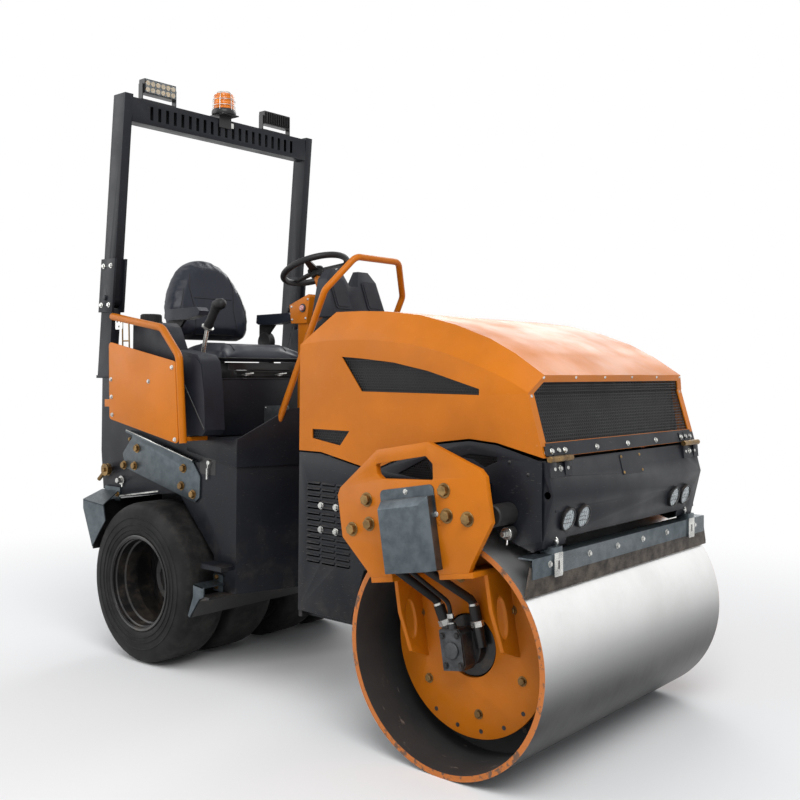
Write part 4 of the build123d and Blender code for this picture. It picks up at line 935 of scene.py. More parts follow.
class Bolts:
    """Sets heads on places and directions, one mesh for each body and finish."""

    HEX = Fastener("hex_head", 1.75, 1.3, 0.95, 6)
    BIG_HEX = Fastener("big_hex_head", 1.95, 1.45, 1.1, 6)
    DOME = Fastener("dome_head", 0.0, 1.5, 0.8, 12, domed=True)
    NUT = Fastener("plain_nut", 1.6, 1.25, 0.8, 6)

    def __init__(self) -> None:
        """Build the tree that sets a template on each point along its own direction and size."""
        tree = NodeTree("fasteners", {"Template": "NodeSocketObject", "Material": "NodeSocketMaterial"})
        enter = tree.enter.outputs
        info = tree.add("GeometryNodeObjectInfo", {"Object": enter["Template"]})
        way = tree.add("GeometryNodeInputNamedAttribute", {"Name": "way"}, data_type="FLOAT_VECTOR")
        size = tree.add("GeometryNodeInputNamedAttribute", {"Name": "size"}, data_type="FLOAT")
        turn = tree.add("FunctionNodeAlignRotationToVector", {"Vector": way.outputs[0]}, axis="Z")
        points = tree.add("GeometryNodeMeshToPoints", {"Mesh": enter["Geometry"]})
        copies = tree.add("GeometryNodeInstanceOnPoints",
                          {"Points": points.outputs[0], "Instance": info.outputs["Geometry"],
                           "Rotation": turn.outputs[0], "Scale": size.outputs[0]})
        tree.close(copies.outputs[0], enter["Material"])
        self.tree = tree
        self.templates: dict[str, Thing] = {}

    def template(self, head: Fastener) -> Thing:
        """Template object of a head, made once."""
        if head.name not in self.templates:
            self.templates[head.name] = placed(head.name, head.mesh())
        return self.templates[head.name]

    def set(self, name: str, head: Fastener, slot: Slot, body: str,
            spots: Sequence[tuple[Vector, Vector, float]], mirror: bool = False) -> Thing:
        """Set heads on a list of places.

        Args:
            name: Name of the piece.
            head: Which head.
            slot: Finish of the heads.
            body: Body that they ride on.
            spots: Place, outward direction and shaft radius of each.
            mirror: Whether the same heads are on the left too.

        Returns:
            The piece.
        """
        rows = [(Vector(place), Vector(way), size) for place, way, size in spots]
        if mirror:
            rows += [(Vector((p.x, -p.y, p.z)), Vector((w.x, -w.y, w.z)), size) for p, w, size in rows]
        mesh = bpy.data.meshes.new(name)
        mesh.from_pydata([tuple(place) for place, _, _ in rows], [], [])
        mesh.attributes.new("way", "FLOAT_VECTOR", "POINT")
        mesh.attributes.new("size", "FLOAT", "POINT")
        mesh.attributes["way"].data.foreach_set("vector",
                                                [number for _, way, _ in rows for number in way.normalized()])
        mesh.attributes["size"].data.foreach_set("value", [size for _, _, size in rows])
        result = self.tree.bake(mesh, {"Template": self.template(head), "Material": FINISH[slot]})
        result.name = name
        return settle(result, name, slot, body)

    def sides(self, name: str, head: Fastener, slot: Slot, body: str,
              spot: Callable[[float, float, float], Vector], y: float, places: Iterable[Flat],
              size: float) -> Thing:
        """Set heads that look outwards on both sides of the machine.

        Args:
            name: Name of the piece.
            head: Which head.
            slot: Finish of the heads.
            body: Body that they ride on.
            spot: Turns a station, a distance and a height in millimetres into a place.
            y: Distance from the middle.
            places: Station and height of each.
            size: Shaft radius of all.

        Returns:
            The piece.
        """
        return self.set(name, head, slot, body, [(spot(x, y, z), RIGHT, size) for x, z in places],
                        mirror=True)

    def clear(self) -> None:
        """Remove the templates."""
        for thing in self.templates.values():
            bpy.data.objects.remove(thing)


BOLTS = Bolts()
RIGHT = Vector((0, -1, 0))


@dataclass
class Frame:
    """Nodes whose shape is right: they get their finish and softened edges."""

    soft_edge: float = 0.0014
    weld: float = 0.00001
    flat: float = 0.2
    sharp: float = 34.0
    hood_sharp: float = 16.0
    wide: dict[str, float] = field(default_factory=lambda: {
        "fork_plates": 0.003, "hood_shell": 0.002, "console": 0.012, "steering_column": 0.004})
    plain: frozenset[str] = frozenset({"drum", "motor_hoses", "right_wheels", "left_wheels", "front_chassis"})

    def smoother(self) -> NodeTree:
        """Tree that shades smooth but for edges that turn sharply."""
        tree = NodeTree("smooth_by_angle", {"Limit": "NodeSocketFloat"})
        enter = tree.enter.outputs
        turn = tree.add("GeometryNodeInputMeshEdgeAngle").outputs["Unsigned Angle"]
        soft = tree.add("GeometryNodeSetShadeSmooth", {"Geometry": enter["Geometry"], "Shade Smooth": True},
                        domain="FACE")
        sharp = tree.add("GeometryNodeSetShadeSmooth", {
            "Geometry": soft.outputs[0], "Selection": tree.math("GREATER_THAN", turn, enter["Limit"]),
            "Shade Smooth": False}, domain="EDGE")
        tree.tree.links.new(sharp.outputs[0], tree.leave.inputs[0])
        return tree

    def soften(self, thing: Thing, width: float, tree: NodeTree, limit: float) -> None:
        """Weld, merge flat faces, bevel and shade a node by modifiers, its own mesh untouched."""
        thing.modifiers.new("weld", "WELD").merge_threshold = self.weld
        if width:
            flat = thing.modifiers.new("flat", "DECIMATE")
            flat.decimate_type, flat.angle_limit = "DISSOLVE", math.radians(self.flat)
            bevel = thing.modifiers.new("bevel", "BEVEL")
            bevel.width, bevel.segments, bevel.limit_method = width, 2, "ANGLE"
            bevel.angle_limit, bevel.use_clamp_overlap = math.radians(limit), True
        nodes = thing.modifiers.new("smooth", "NODES")
        nodes.node_group = tree.tree
        nodes[tree.sockets["Limit"].identifier] = math.radians(limit)

    def dress(self) -> None:
        """Give every node its finish and every plate a small rounded edge."""
        tree = self.smoother()
        named = {part["node"]: part["material_slot"] for part in frame["record"]["subparts"]}
        for node, thing in frame["nodes"].items():
            thing.data.materials.clear()
            thing.data.materials.append(FINISH[Slot(named[node])])
            width = 0.0 if node in self.plain else self.wide.get(node, self.soft_edge)
            self.soften(thing, width, tree, self.hood_sharp if node == "hood_shell" else self.sharp)
        LOG.info("dressed %d nodes", len(named))


def front_spot(x: float, y: float, z: float) -> Vector:
    """Place in millimetres from the drum's axis, the middle plane and the ground."""
    return Vector((fx(x), y * MM, z * MM))


def rear_spot(x: float, y: float, z: float) -> Vector:
    """Place in millimetres from the rear axle, the middle plane and the ground."""
    return Vector((ax(x), y * MM, z * MM))


def plane(origin: Vector, right: Point, up: Point) -> Matrix:
    """Matrix that lays a flat drawing on a plane, its front towards right x up."""
    across = Vector(right).normalized()
    normal = across.cross(Vector(up)).normalized()
    return Matrix.Translation(origin) @ Matrix((across, normal.cross(across), normal)).transposed().to_4x4()


def front_side(y: float) -> Matrix:
    """Plane that looks right at a distance from the middle, its zero at the drum's axis."""
    return plane(front_spot(0, y, 0), FORWARD, UP)


def rear_side(y: float) -> Matrix:
    """Plane that looks right at a distance from the middle, its zero at the rear axle."""
    return plane(rear_spot(0, y, 0), FORWARD, UP)


def twin(mesh: Mesh) -> Mesh:
    """The same mesh on the other side of the machine."""
    other = mesh.copy()
    other.transform(Matrix.Diagonal((1, -1, 1, 1)))
    other.flip_normals()
    return other


def joined(name: str, meshes: Iterable[Mesh]) -> Mesh:
    """One mesh of several."""
    work = bmesh.new()
    for mesh in meshes:
        work.from_mesh(mesh)
    result = bpy.data.meshes.new(name)
    work.to_mesh(result)
    work.free()
    return result


def rounded_box(x0: float, x1: float, y0: float, y1: float, radius: float, steps: int = 5) -> list[Flat]:
    """Outline of a rectangle with rounded corners, anticlockwise."""
    corners = ((x1 - radius, y0 + radius, -90), (x1 - radius, y1 - radius, 0), (x0 + radius, y1 - radius, 90),
               (x0 + radius, y0 + radius, 180))
    turn = 90 / steps
    return [(x + radius * math.cos(math.radians(start + turn * step)),
             y + radius * math.sin(math.radians(start + turn * step)))
            for x, y, start in corners for step in range(steps + 1)]


def laid(outline: Sequence[Flat], place: Matrix, thick: float, shape: Shape | None = None) -> Shape:
    """Plate of a flat outline in millimetres, laid on a plane and raised by its thickness."""
    corners = [place @ Vector((x * MM, y * MM, 0)) for x, y in outline]
    return (shape or Shape()).prism(corners, place.to_3x3() @ Vector((0, 0, thick * MM)))


@dataclass
class Hood:
    """Perforated sheets, front strip, screws and hinges of the hood."""

    front_x: float = 303.0
    front_z: float = 950.0
    lean: float = 0.294
    fold_z: float = 1137.0
    visor: float = 0.4
    inset: float = 5.5

    def face_x(self, z: float) -> float:
        """Station of the hood's front face at a height, in millimetres from the drum's axis."""
        above = max(0.0, z - self.fold_z)
        return self.front_x - self.lean * (min(z, self.fold_z) - self.front_z) + self.visor * above

    def meshes(self) -> None:
        """Perforated sheets behind the windows and the grille."""
        mesh = HexMesh()
        window = [(-497, 1249), (-404, 1128), (79, 1127), (79, 1151), (12, 1168), (-122, 1204), (-264, 1230),
                  (-403, 1244)]
        vent = [(-634, 1001), (-451, 1001), (-496, 944), (-634, 963)]
        side = front_side(-503.5)
        sheets = []
        for outline in (window, vent):
            sheet = mesh.sheet(metres(outline), side, 0.0105)
            sheets += [sheet, twin(sheet)]
        rows = ((990, self.fold_z, -self.lean, 486, 486), (self.fold_z, 1168, self.visor, 482, 452))
        for low, high, slope, foot, head in rows:
            tall = (high - low) * math.hypot(1, slope)
            face = plane(front_spot(self.face_x(low) - self.inset, 0, low), LEFT, (slope, 0, 1))
            outline = ((-foot, 0), (foot, 0), (head, tall), (-head, tall))
            sheets.append(mesh.sheet(metres(outline), face, 0.0115))
        settle(joined("hood_perforated_sheets", sheets), "hood_perforated_sheets", Slot.MESH, "hood",
               ("hood_meshes",))
        # Dark sheets just behind the perforated sheets and the grille: painted shade, so the holes look into
        # a dark hood.
        shade_backing = Shape()
        shade_backing.prism_y(front_flat(((-520, 1112), (100, 1112), (100, 1160), (-260, 1232), (-520, 1256))),
                      -0.488, -0.486)
        shade_backing.prism_y(front_flat(((-650, 930), (-440, 930), (-440, 1012), (-650, 1012))), -0.488, -0.486)
        shade_backing.mirrored()
        shade_backing.prism_y(front_flat(((246, 988), (214, 1160), (206, 1160), (238, 988))), -0.4855, 0.4855)
        shade_backing.piece("hood_liner", Slot.IRON, "hood")

    def strip(self) -> None:
        """Dark sheet under the grille."""
        low, high = 957, 996
        outline = [(fx(self.face_x(z) + out), z * MM)
                   for z, out in ((low, 0.1), (low, 2.0), (high, 2.0), (high, 0.1))]
        Shape().prism_y(outline, -0.484, 0.484).piece("hood_front_strip", Slot.DARK, "hood")

    def screws(self) -> None:
        """Screws round the grille and on the strip."""
        face, brow = Vector((1, 0, self.lean)), Vector((1, 0, -self.visor))
        spots = [(front_spot(self.face_x(1184), y, 1184), brow, 0.0034)
                 for y in (-454, -272, -91, 91, 272, 454)]
        for y in (-492, 492):
            spots += [(front_spot(self.face_x(z), y, z), face, 0.0036) for z in (1131, 970)]
        BOLTS.set("grille_screws", Bolts.DOME, Slot.BRIGHT, "hood", spots)
        spots = [(front_spot(self.face_x(972) + 2, y, 972), face, 0.0056) for y in (-200, 0, 200)]
        spots += [(front_spot(self.face_x(973) + 4.5, side * y, 973), face, 0.0056) for side in (-1, 1)
                  for y in (392, 428, 464)]
        BOLTS.set("strip_bolts", Bolts.NUT, Slot.BRIGHT, "hood", spots)

    def hinges(self) -> None:
        """Leaves and bright knuckles of the two hinges."""
        upper = [(self.face_x(988) + 2, 988), (self.face_x(988) + 4.6, 988), (self.face_x(962) + 4.8, 961),
                 (self.face_x(959) + 2, 959)]
        cover = [(self.face_x(988) + 0.2, 988), (self.face_x(988) + 5.8, 988), (self.face_x(962) + 6, 962),
                 (315, 959.6), (306.6, 951), (self.face_x(957), 957)]
        lower = [(306, 939), (308.8, 939), (318.6, 901), (315.8, 901)]
        cap = [(303, 942), (315.6, 944.6), (319.6, 901), (313, 899)]
        upper_leaf, lower_leaf, knuckle, ends = Shape(), Shape(), Shape(), Shape()
        for side in (-1, 1):
            y = side * 440
            upper_leaf.prism_y(front_flat(upper), (y - 58) * MM, (y + 58) * MM)
            upper_leaf.prism_y(front_flat(cover), (y - 22.4) * MM, (y + 22.4) * MM)
            lower_leaf.prism_y(front_flat(lower), (y - 58) * MM, (y + 58) * MM)
            knuckle.rod(front_spot(316, y - 22.3, 952), front_spot(316, y + 22.3, 952), 0.0094, 24, 0.0006)
            for end in (-1, 1):
                near, far = y + end * 23.4, y + end * 59.8
                ends.rod(front_spot(316, near, 952), front_spot(316, far, 952), 0.0094, 24, 0.0006)
                lower_leaf.prism_y(front_flat(cap), min(near, far) * MM, max(near, far) * MM)
        upper_leaf.piece("hinge_upper_leaves", Slot.DARK, "hood")
        lower_leaf.piece("hinge_lower_leaves", Slot.DARK, "front_frame")
        knuckle.piece("hinge_knuckles", Slot.YELLOW, "hood")
        ends.piece("hinge_end_knuckles", Slot.YELLOW, "front_frame")

    def build(self) -> None:
        """Add everything on the hood."""
        self.meshes()
        self.strip()
        self.screws()
        self.hinges()


@dataclass
class Bumper:
    """Blank plate, lamps and hooks on the folded nose."""

    slope: float = math.radians(13.5)
    lamp_y: tuple[float, ...] = (-396, -308, 308, 396)

    def plate(self) -> None:
        """Blank plate with four rivets."""
        up = (-25, 0, 97)
        middle = plane(front_spot(313.2, 0, 908.5), LEFT, up)
        plate = laid(rounded_box(-71, 71, -33, 33, 7), middle, 1.6).bevel(0.0005)
        plate.piece("bumper_blank_plate", Slot.DARK, "front_frame")
        way = Vector((97, 0, 25))
        spots = [(middle @ Vector((y * MM, z * MM, 0.0016)), way, 0.0034) for y in (-62, 62)
                 for z in (-25, 25)]
        BOLTS.set("plate_rivets", Bolts.DOME, Slot.YELLOW, "front_frame", spots)
        spots = [(front_spot(312.4, side * y, 923), way, 0.0056) for side in (-1, 1) for y in (400, 436, 472)]
        BOLTS.set("hinge_bolts", Bolts.NUT, Slot.BRIGHT, "front_frame", spots)

    def lamps(self) -> None:
        """Four round lamps: bezel, reflector with a painted glow for its reflection behind dark cross bars,
        ribbed glass.
        """
        way = Vector((math.cos(self.slope), 0, -math.sin(self.slope)))
        bezel, bowl, glass = Shape(), Shape(), Shape()
        half_bar = Vector((0.0012, 0.02, 0.0014))
        for y in self.lamp_y:
            middle = front_spot(310.5, y, 773)
            bezel.lathe([(-0.0018, 0.0305), (-0.0018, 0.0356), (0.0075, 0.0356), (0.0095, 0.0342),
                         (0.0095, 0.0318), (0.006, 0.0305)], middle, way, 40)
            bowl.lathe([(-0.0016, 0), (-0.0014, 0.012), (0.001, 0.024), (0.005, 0.0304)], middle, way, 40,
                       False)
            for level in (-0.011, 0.0, 0.011):
                centre = middle + Vector((0, 0, level)) + way * 0.0016
                bezel.block(centre - half_bar, centre + half_bar)
            glass.lathe([(0.0062, 0.0), (0.0056, 0.016), (0.0044, 0.0306), (0.0060, 0.0306), (0.0072, 0.016),
                         (0.0078, 0.0)], middle, way, 40, False)
        bezel.piece("headlamp_bezels", Slot.BLACK, "front_frame", ("headlamps",))
        # The bowls glow faintly: painted reflection of the reflector.
        settle(bowl.mesh("headlamp_bowls"), "headlamp_bowls", Slot.GLASS, "front_frame",
               material=FINISH.reflector_painted_glow)
        glass.piece("headlamp_glasses", Slot.GLASS, "front_frame")

    def hooks(self) -> None:
        """Two small bright hooks under the lamps."""
        hook = Shape()
        route = [(292, 696), (299, 702), (302, 710), (300, 719), (295, 724), (290, 722)]
        hook.tube([front_spot(x, -432, z) for x, z in route], 0.003, 10)
        hook.rod(front_spot(290, -432, 714), front_spot(302, -432, 711), 0.006, 16, 0.001)
        hook.mirrored().piece("bumper_hooks", Slot.BRIGHT, "front_frame", angle=60)

    def build(self) -> None:
        """Add everything on the nose."""
        self.plate()
        self.lamps()
        self.hooks()


@dataclass
class DrumScraper:
    """Worn blade, bolts and slotted clamps before the drum."""

    blade_x: float = 298.5

    def build(self) -> None:
        """Add the blade's worn skin, the bolts, and black plates that paint the shade of the clamps' slots.
        """
        half, foot, top = 597.3, 573.7, 655.3
        outline = [(-half + 22, top), (-half, foot + 12), (-half, foot), (half, foot), (half, foot + 12),
                   (half - 22, top)]
        blade = Shape().prism_x(metres(outline), fx(self.blade_x - 0.3), fx(self.blade_x + 6.4))
        settle(blade.mesh("scraper_blade"), "scraper_blade", Slot.IRON, "front_frame", material=FINISH.worn)
        forward = Vector(FORWARD)
        spots = [(front_spot(309.5, y, 655), forward, 0.0055) for y in (-486, -262, -86, 86, 262, 486)]
        BOLTS.set("scraper_bolts", Bolts.HEX, Slot.BRIGHT, "front_frame", spots)
        clamp, slot = Shape(), Shape()
        for side in (-1, 1):
            y = side * 449
            plate = plane(front_spot(315.5, y, 0), LEFT, UP)
            laid(rounded_box(-22.6, 22.6, 616, 684, 4), plate, 1.5, clamp)
            # Black slot plates on the clamps: painted shade where the slots are.
            laid(rounded_box(-4, 4, 636, 662, 3.9), plate, 2.2, slot)
            laid(rounded_box(-9, 9, 630, 668, 6), plate, 1.9, clamp)
        clamp.bevel(0.0006).piece("clamp_faces", Slot.BRIGHT, "front_frame")
        slot.piece("clamp_slots", Slot.BLACK, "front_frame")


@dataclass
class Fork:
    """Bolts, hose cover, fittings and side bumper of the drum's fork."""

    plate_y: float = -632.0
    disc_y: float = -446.0
    bolt_ring: float = 205.0
    hole_ring: float = 256.0

    def bolts(self) -> None:
        """Coppery hex bolts on the plates and the mounting discs."""
        places = ((-182, 479), (-258, 393), (-184, 404), (126, 479), (124, 406), (197, 391))
        BOLTS.sides("fork_bolts", Bolts.BIG_HEX, Slot.YELLOW, "front_frame", forked, self.plate_y, places,
                    0.0115)
        angles = [math.radians(60 * step - 30) for step in range(6)]
        places = [(self.bolt_ring * math.cos(a), self.bolt_ring * math.sin(a)) for a in angles]
        BOLTS.sides("carrier_bolts", Bolts.HEX, Slot.YELLOW, "front_frame", forked, self.disc_y, places,
                    0.0088)
        # Thin black discs on the carrier disc: painted shade where the drilled holes are.
        hole_shades = Shape()
        for step in range(5):
            angle = math.radians(-130 + 20 * step)
            place = forked(self.hole_ring * math.cos(angle), self.disc_y, self.hole_ring * math.sin(angle))
            hole_shades.rod(place, place + RIGHT * 0.0006, 0.007, 18)
        hole_shades.mirrored().piece("carrier_holes", Slot.BLACK, "front_frame")

    def cover(self) -> None:
        """Folded hose cover: rounded flange, raised box with sloping top and front faces."""
        flange, y = Shape(), self.plate_y
        outline = [forked(u, y, w) for u, w in rounded_box(-122, 89, 404, 502, 16)]
        flange.prism(outline, RIGHT * 0.0035).bevel(0.0008)
        flange.mirrored().piece("hose_cover_flanges", Slot.GALVANISED, "front_frame", ("hose_covers",))
        levels = [(y, 84, 470), (y - 30, 84, 470), (y - 50, 60, 446)]
        box = Shape()
        rings = [[forked(-99, depth, 254), forked(-99, depth, top), forked(front, depth, top),
                  forked(front, depth, 254)] for depth, front, top in levels]
        points = [spot for ring in rings for spot in ring]
        faces = [[4 * level + i, 4 * level + i + 1, 4 * level + i + 5, 4 * level + i + 4]
                 for level in range(2) for i in range(3)]
        box.add(points, faces + [[8, 9, 10, 11]])
        bmesh.ops.recalc_face_normals(box.work, faces=box.work.faces)
        bmesh.ops.solidify(box.work, geom=list(box.work.faces), thickness=0.003)
        box.bevel(0.0022, 3).mirrored().piece("hose_cover_boxes", Slot.GALVANISED, "front_frame")
        places = ((-19, 489), (-111, 414), (88, 414))
        BOLTS.sides("cover_screws", Bolts.NUT, Slot.BRIGHT, "front_frame", forked, y - 3.5, places, 0.0052)
        places = ((-111, 392), (93, 388))
        BOLTS.sides("painted_screws", Bolts.DOME, Slot.ORANGE, "front_frame", forked, y, places, 0.0052)

    def motor(self) -> None:
        """Cap plate, its bolts, hose sleeves and bright fittings of the drive motor."""
        cap = Shape()
        corners = [(-50, -60), (18, -60), (30, -45), (30, 45), (18, 60), (-50, 60)]
        cap.prism([forked(u, -518, w) for u, w in corners], RIGHT * 0.007).bevel(0.002)
        cap.rod(forked(-10, -525, 0), forked(-10, -531, 0), 0.026, 32, 0.002)
        cap.rod(forked(-10, -505, 60), forked(-10, -505, 76), 0.013, 24, 0.002)
        settle(cap.mirrored().mesh("motor_caps"), "motor_caps", Slot.IRON, "front_frame",
               material=FINISH.grey_cast)
        places = ((-38, -44), (-38, 44), (18, -44), (18, 44))
        BOLTS.sides("motor_cap_bolts", Bolts.HEX, Slot.IRON, "front_frame", forked, -525, places, 0.0062)
        sleeves, bright = Shape(), Shape()
        for root, mouth in (((-38, -492, 50), (-46, -498, 92)), ((60, -464, 0), (58, -470, 82))):
            start, end = forked(*root), forked(*mouth)
            way = (end - start).normalized()
            sleeves.rod(end - way * 0.004, end + way * 0.042, 0.0172, 24, 0.002)
            bright.rod(end - way * 0.022, end - way * 0.003, 0.0205, 6, 0.001)
            bright.rod(end + way * 0.041, end + way * 0.05, 0.0155, 24, 0.001)
        for u, w in ((-12, 66), (-12, 92)):
            bright.rod(forked(u, -506, w), forked(u, -506, w + 15), 0.0105, 6, 0.001)
        for u in (-80, 28):
            sleeves.rod(forked(u, -658, 372), forked(u, -658, 399), 0.0165, 20, 0.001)
        sleeves.mirrored().piece("hose_sleeves", Slot.HOSE, "front_frame")
        bright.mirrored().piece("hose_fittings", Slot.BRIGHT, "front_frame")

    def bumper(self) -> None:
        """Dark round bumper and greased pin beside the fork."""
        dark, bright = Shape(), Shape()
        for shape, start, end, radius, count, lip in (
                (dark, (185, -506, 790), (185, -598, 790), 0.032, 40, 0.004),
                (dark, (193, -506, 734), (193, -532, 734), 0.021, 32, 0.002),
                (bright, (193, -532, 734), (193, -536, 734), 0.0185, 32, 0.001),
                (bright, (193, -536, 734), (193, -556, 734), 0.0095, 6, 0.0015),
                (bright, (196, -534, 716), (199, -540, 702), 0.0032, 12, 0.0005)):
            shape.rod(front_spot(*start), front_spot(*end), radius, count, lip)
        dark.mirrored().piece("fork_side_bumpers", Slot.HOSE, "front_frame")
        bright.mirrored().piece("fork_side_pins", Slot.BRIGHT, "front_frame")

    def build(self) -> None:
        """Add everything on the fork."""
        self.bolts()
        self.cover()
        self.motor()
        self.bumper()


@dataclass
class Panels:
    """Louvre lips, screws and vent sheets of the side panels and inner fenders."""

    columns: tuple[float, ...] = (-620, -549, -480)
    rows: int = 14
    first: float = 809.0
    pitch: float = 20.4

    def build(self) -> None:
        """Add the lips, the screws and the vents."""
        lips = Shape()
        for column in self.columns:
            for row in range(self.rows):
                top = self.first - row * self.pitch + 4
                outline = [(-509, top + 4.5), (-513.5, top + 0.5), (-514, top - 1.5), (-509, top + 0.5)]
                lips.prism_x(metres(outline), fx(column - 31), fx(column + 31))
        lips.mirrored().piece("louvre_lips", Slot.DARK, "front_frame")
        places = ((-584, 738.5), (-514, 738.5), (-584, 657), (-514, 657))
        BOLTS.sides("side_panel_screws", Bolts.NUT, Slot.BRIGHT, "front_frame", front_spot, -510, places,
                    0.0078)
        places = ((186, 937), (250, 905), (-352, 800), (-352, 660))
        BOLTS.sides("fender_screws", Bolts.DOME, Slot.BLACK, "front_frame", front_spot, -509, places, 0.004)
        mesh = HexMesh()
        side = front_side(-504.2)
        rear = [(-243, 874), (-189, 863), (-92, 853), (-118, 936)]
        front = [(1, 943), (46, 957), (144, 953), (147, 935), (98, 912), (50, 934)]
        sheets = [mesh.sheet(metres(outline), side, 0.0085) for outline in (rear, front)]
        sheets += [twin(sheet) for sheet in sheets]
        settle(joined("fender_vents", sheets), "fender_vents", Slot.MESH, "front_frame")


@dataclass
class RearBody:
    """Bracket bolts, lock, seat box plate, yoke, scraper plates and arch strip of the rear."""

    skin_y: float = -403.0

    def fasteners(self) -> None:
        """Coppery bolts on the bracket plates and smaller ones round them."""
        places = ((-171, 858), (-264, 780), (-187, 782), (152, 795), (139, 723), (214, 695))
        BOLTS.sides("bracket_bolts", Bolts.BIG_HEX, Slot.YELLOW, "rear_frame", rear_spot, -411, places,
                    0.0098)
        spots = [(rear_spot(-236, self.skin_y, 893), RIGHT, 0.005), (rear_spot(364, -407, 384), RIGHT, 0.006),
                 (rear_spot(364, -407, 348), RIGHT, 0.006), (rear_spot(-400, -408, 650), RIGHT, 0.007),
                 (rear_spot(-318, -408, 650), RIGHT, 0.007)]
        BOLTS.set("rear_side_bolts", Bolts.HEX, Slot.YELLOW, "rear_frame", spots, mirror=True)

    def strips(self) -> None:
        """Bright rod over the bracket, a painted highlight where the flange's top edge catches the light, and
        a bright strip along the wheel arch.
        """
        strip = Shape()
        # Painted highlight: a bright rod laid along the flange's top edge, where light catches it.
        strip.rod(rear_spot(-224, -430, 935), rear_spot(234, -430, 834), 0.0035, 12, 0.0005)
        strip.prism_y(rear_flat(((-299, 640), (-299, 646), (-23, 690), (-23, 684))), -0.409, -0.403)
        strip.mirrored().piece("rear_bright_strips", Slot.BRIGHT, "rear_frame", angle=60)

    def lock(self) -> None:
        """Flat dark plate painted as the shade of a recess, with a lock and a hanging key."""
        side = rear_side(-403.2)
        # Painted shade: a thin black plate stands for the recess round the lock.
        recess_shade = laid(rounded_box(248, 347, 780, 846, 5), side, 0.8)
        recess_shade.mirrored().piece("lock_recesses", Slot.BLACK, "rear_frame")
        lock = Shape()
        lock.rod(rear_spot(308, -404, 828), rear_spot(308, -413, 828), 0.0095, 24, 0.001)
        laid(rounded_box(305.5, 310.5, 806, 826, 2), rear_side(-412), 2.0, lock)
        laid(rounded_box(298, 306, 762, 806, 2), rear_side(-411), 2.0, lock)
        lock.piece("lock_and_key", Slot.BRIGHT, "rear_frame")

    def box_plate(self) -> None:
        """Blank plate with two screws, panel joints and top edge of the seat box."""
        face = plane(rear_spot(294.2, 0, 0), LEFT, UP)
        plate = laid(rounded_box(-106, 36, 975, 1046, 4), face, 1.6).bevel(0.0004)
        plate.piece("box_blank_plate", Slot.GALVANISED, "rear_frame")
        spots = [(face @ Vector((y * MM, 1.038, 0.0016)), Vector(FORWARD), 0.003) for y in (-97, 27)]
        BOLTS.set("plate_screws", Bolts.DOME, Slot.BRIGHT, "rear_frame", spots)
        seams = Shape()
        for y in (-330, 330):
            seams.block(rear_spot(294, y - 2, 934), rear_spot(294.9, y + 2, 1150))
        seams.piece("box_panel_joints", Slot.BLACK, "rear_frame")
        edge = Shape().block(rear_spot(240, -394, 1158), rear_spot(296, 394, 1162)).bevel(0.0012)
        edge.piece("box_front_edge", Slot.DARK, "rear_frame")

    def yoke(self) -> None:
        """Plated joint and white-headed bolt behind the bracket, on each side."""
        joint, pin = Shape(), Shape()
        for y in (-416, -432):
            laid(rounded_box(-400, -350, 728, 780, 20), rear_side(y), 5, joint)
        joint.rod(rear_spot(-375, self.skin_y, 754), rear_spot(-375, -446, 754), 0.009, 20, 0.001)
        joint.rod(rear_spot(-394, -424, 740), rear_spot(-436, -424, 706), 0.009, 20, 0.001)
        joint.bevel(0.001).mirrored().piece("rear_yokes", Slot.YELLOW, "rear_frame")
        pin.rod(rear_spot(-290, self.skin_y, 712), rear_spot(-290, -410, 712), 0.02, 32, 0.001)
        pin.rod(rear_spot(-290, -410, 712), rear_spot(-290, -432, 712), 0.0115, 20, 0.002)
        pin.rod(rear_spot(-284, -406, 696), rear_spot(-280, -410, 684), 0.0032, 10)
        pin.mirrored().piece("rear_white_bolts", Slot.BRIGHT, "rear_frame")

    def scrapers(self) -> None:
        """Plates, bars and brackets of the tyre scrapers."""
        plate = Shape()
        ends = [(-397, 630), (-244, 619), (-228, 556), (-265, 512), (-324, 437), (-396, 594)]
        plate.prism_y(rear_flat(ends), -0.526, -0.521)
        thick, side = Vector((0, 0, 0.005)), rear_side(self.skin_y)
        top = ((-397, -526, 628), (-244, -526, 617), (-316, -404, 660), (-440, -404, 657))
        plate.prism([rear_spot(*corner) for corner in top], thick)
        laid(rounded_box(-414, -298, 619, 680, 6), side, 5, plate)
        bracket = [(352, 372), (416, 366), (416, 330), (388, 318), (330, 240), (322, 246), (352, 322)]
        plate.prism_y(rear_flat(bracket), -0.512, -0.506)
        laid(rounded_box(342, 402, 330, 396, 6), side, 4, plate)
        top = ((352, -512, 367), (412, -512, 361), (412, -404, 361), (352, -404, 367))
        plate.prism([rear_spot(*corner) for corner in top], thick)
        plate.bevel(0.0008).mirrored().piece("tyre_scraper_plates", Slot.GALVANISED, "rear_frame",
                                             ("tyre_scrapers",))
        bars = Shape()
        rear = [(-391, 626), (-340, 626), (-340, 548), (-322, 426), (-328, 426), (-347, 548), (-391, 600)]
        bars.prism_y(rear_flat(rear), -0.52, 0.52)
        front = [(440, 330), (440, 322), (384, 310), (335, 239), (328, 243), (375, 318), (380, 330)]
        bars.prism_y(rear_flat(front), -0.505, 0.505)
        bars.bevel(0.0008).piece("tyre_scraper_bars", Slot.BLACK, "rear_frame")
        # Thin black plates: painted shade where the scraper plates' slots are.
        slots = laid(rounded_box(-365, -357, 640, 664, 3.9), rear_side(-408.2), 0.6)
        slots.mirrored().piece("scraper_plate_slots", Slot.BLACK, "rear_frame")

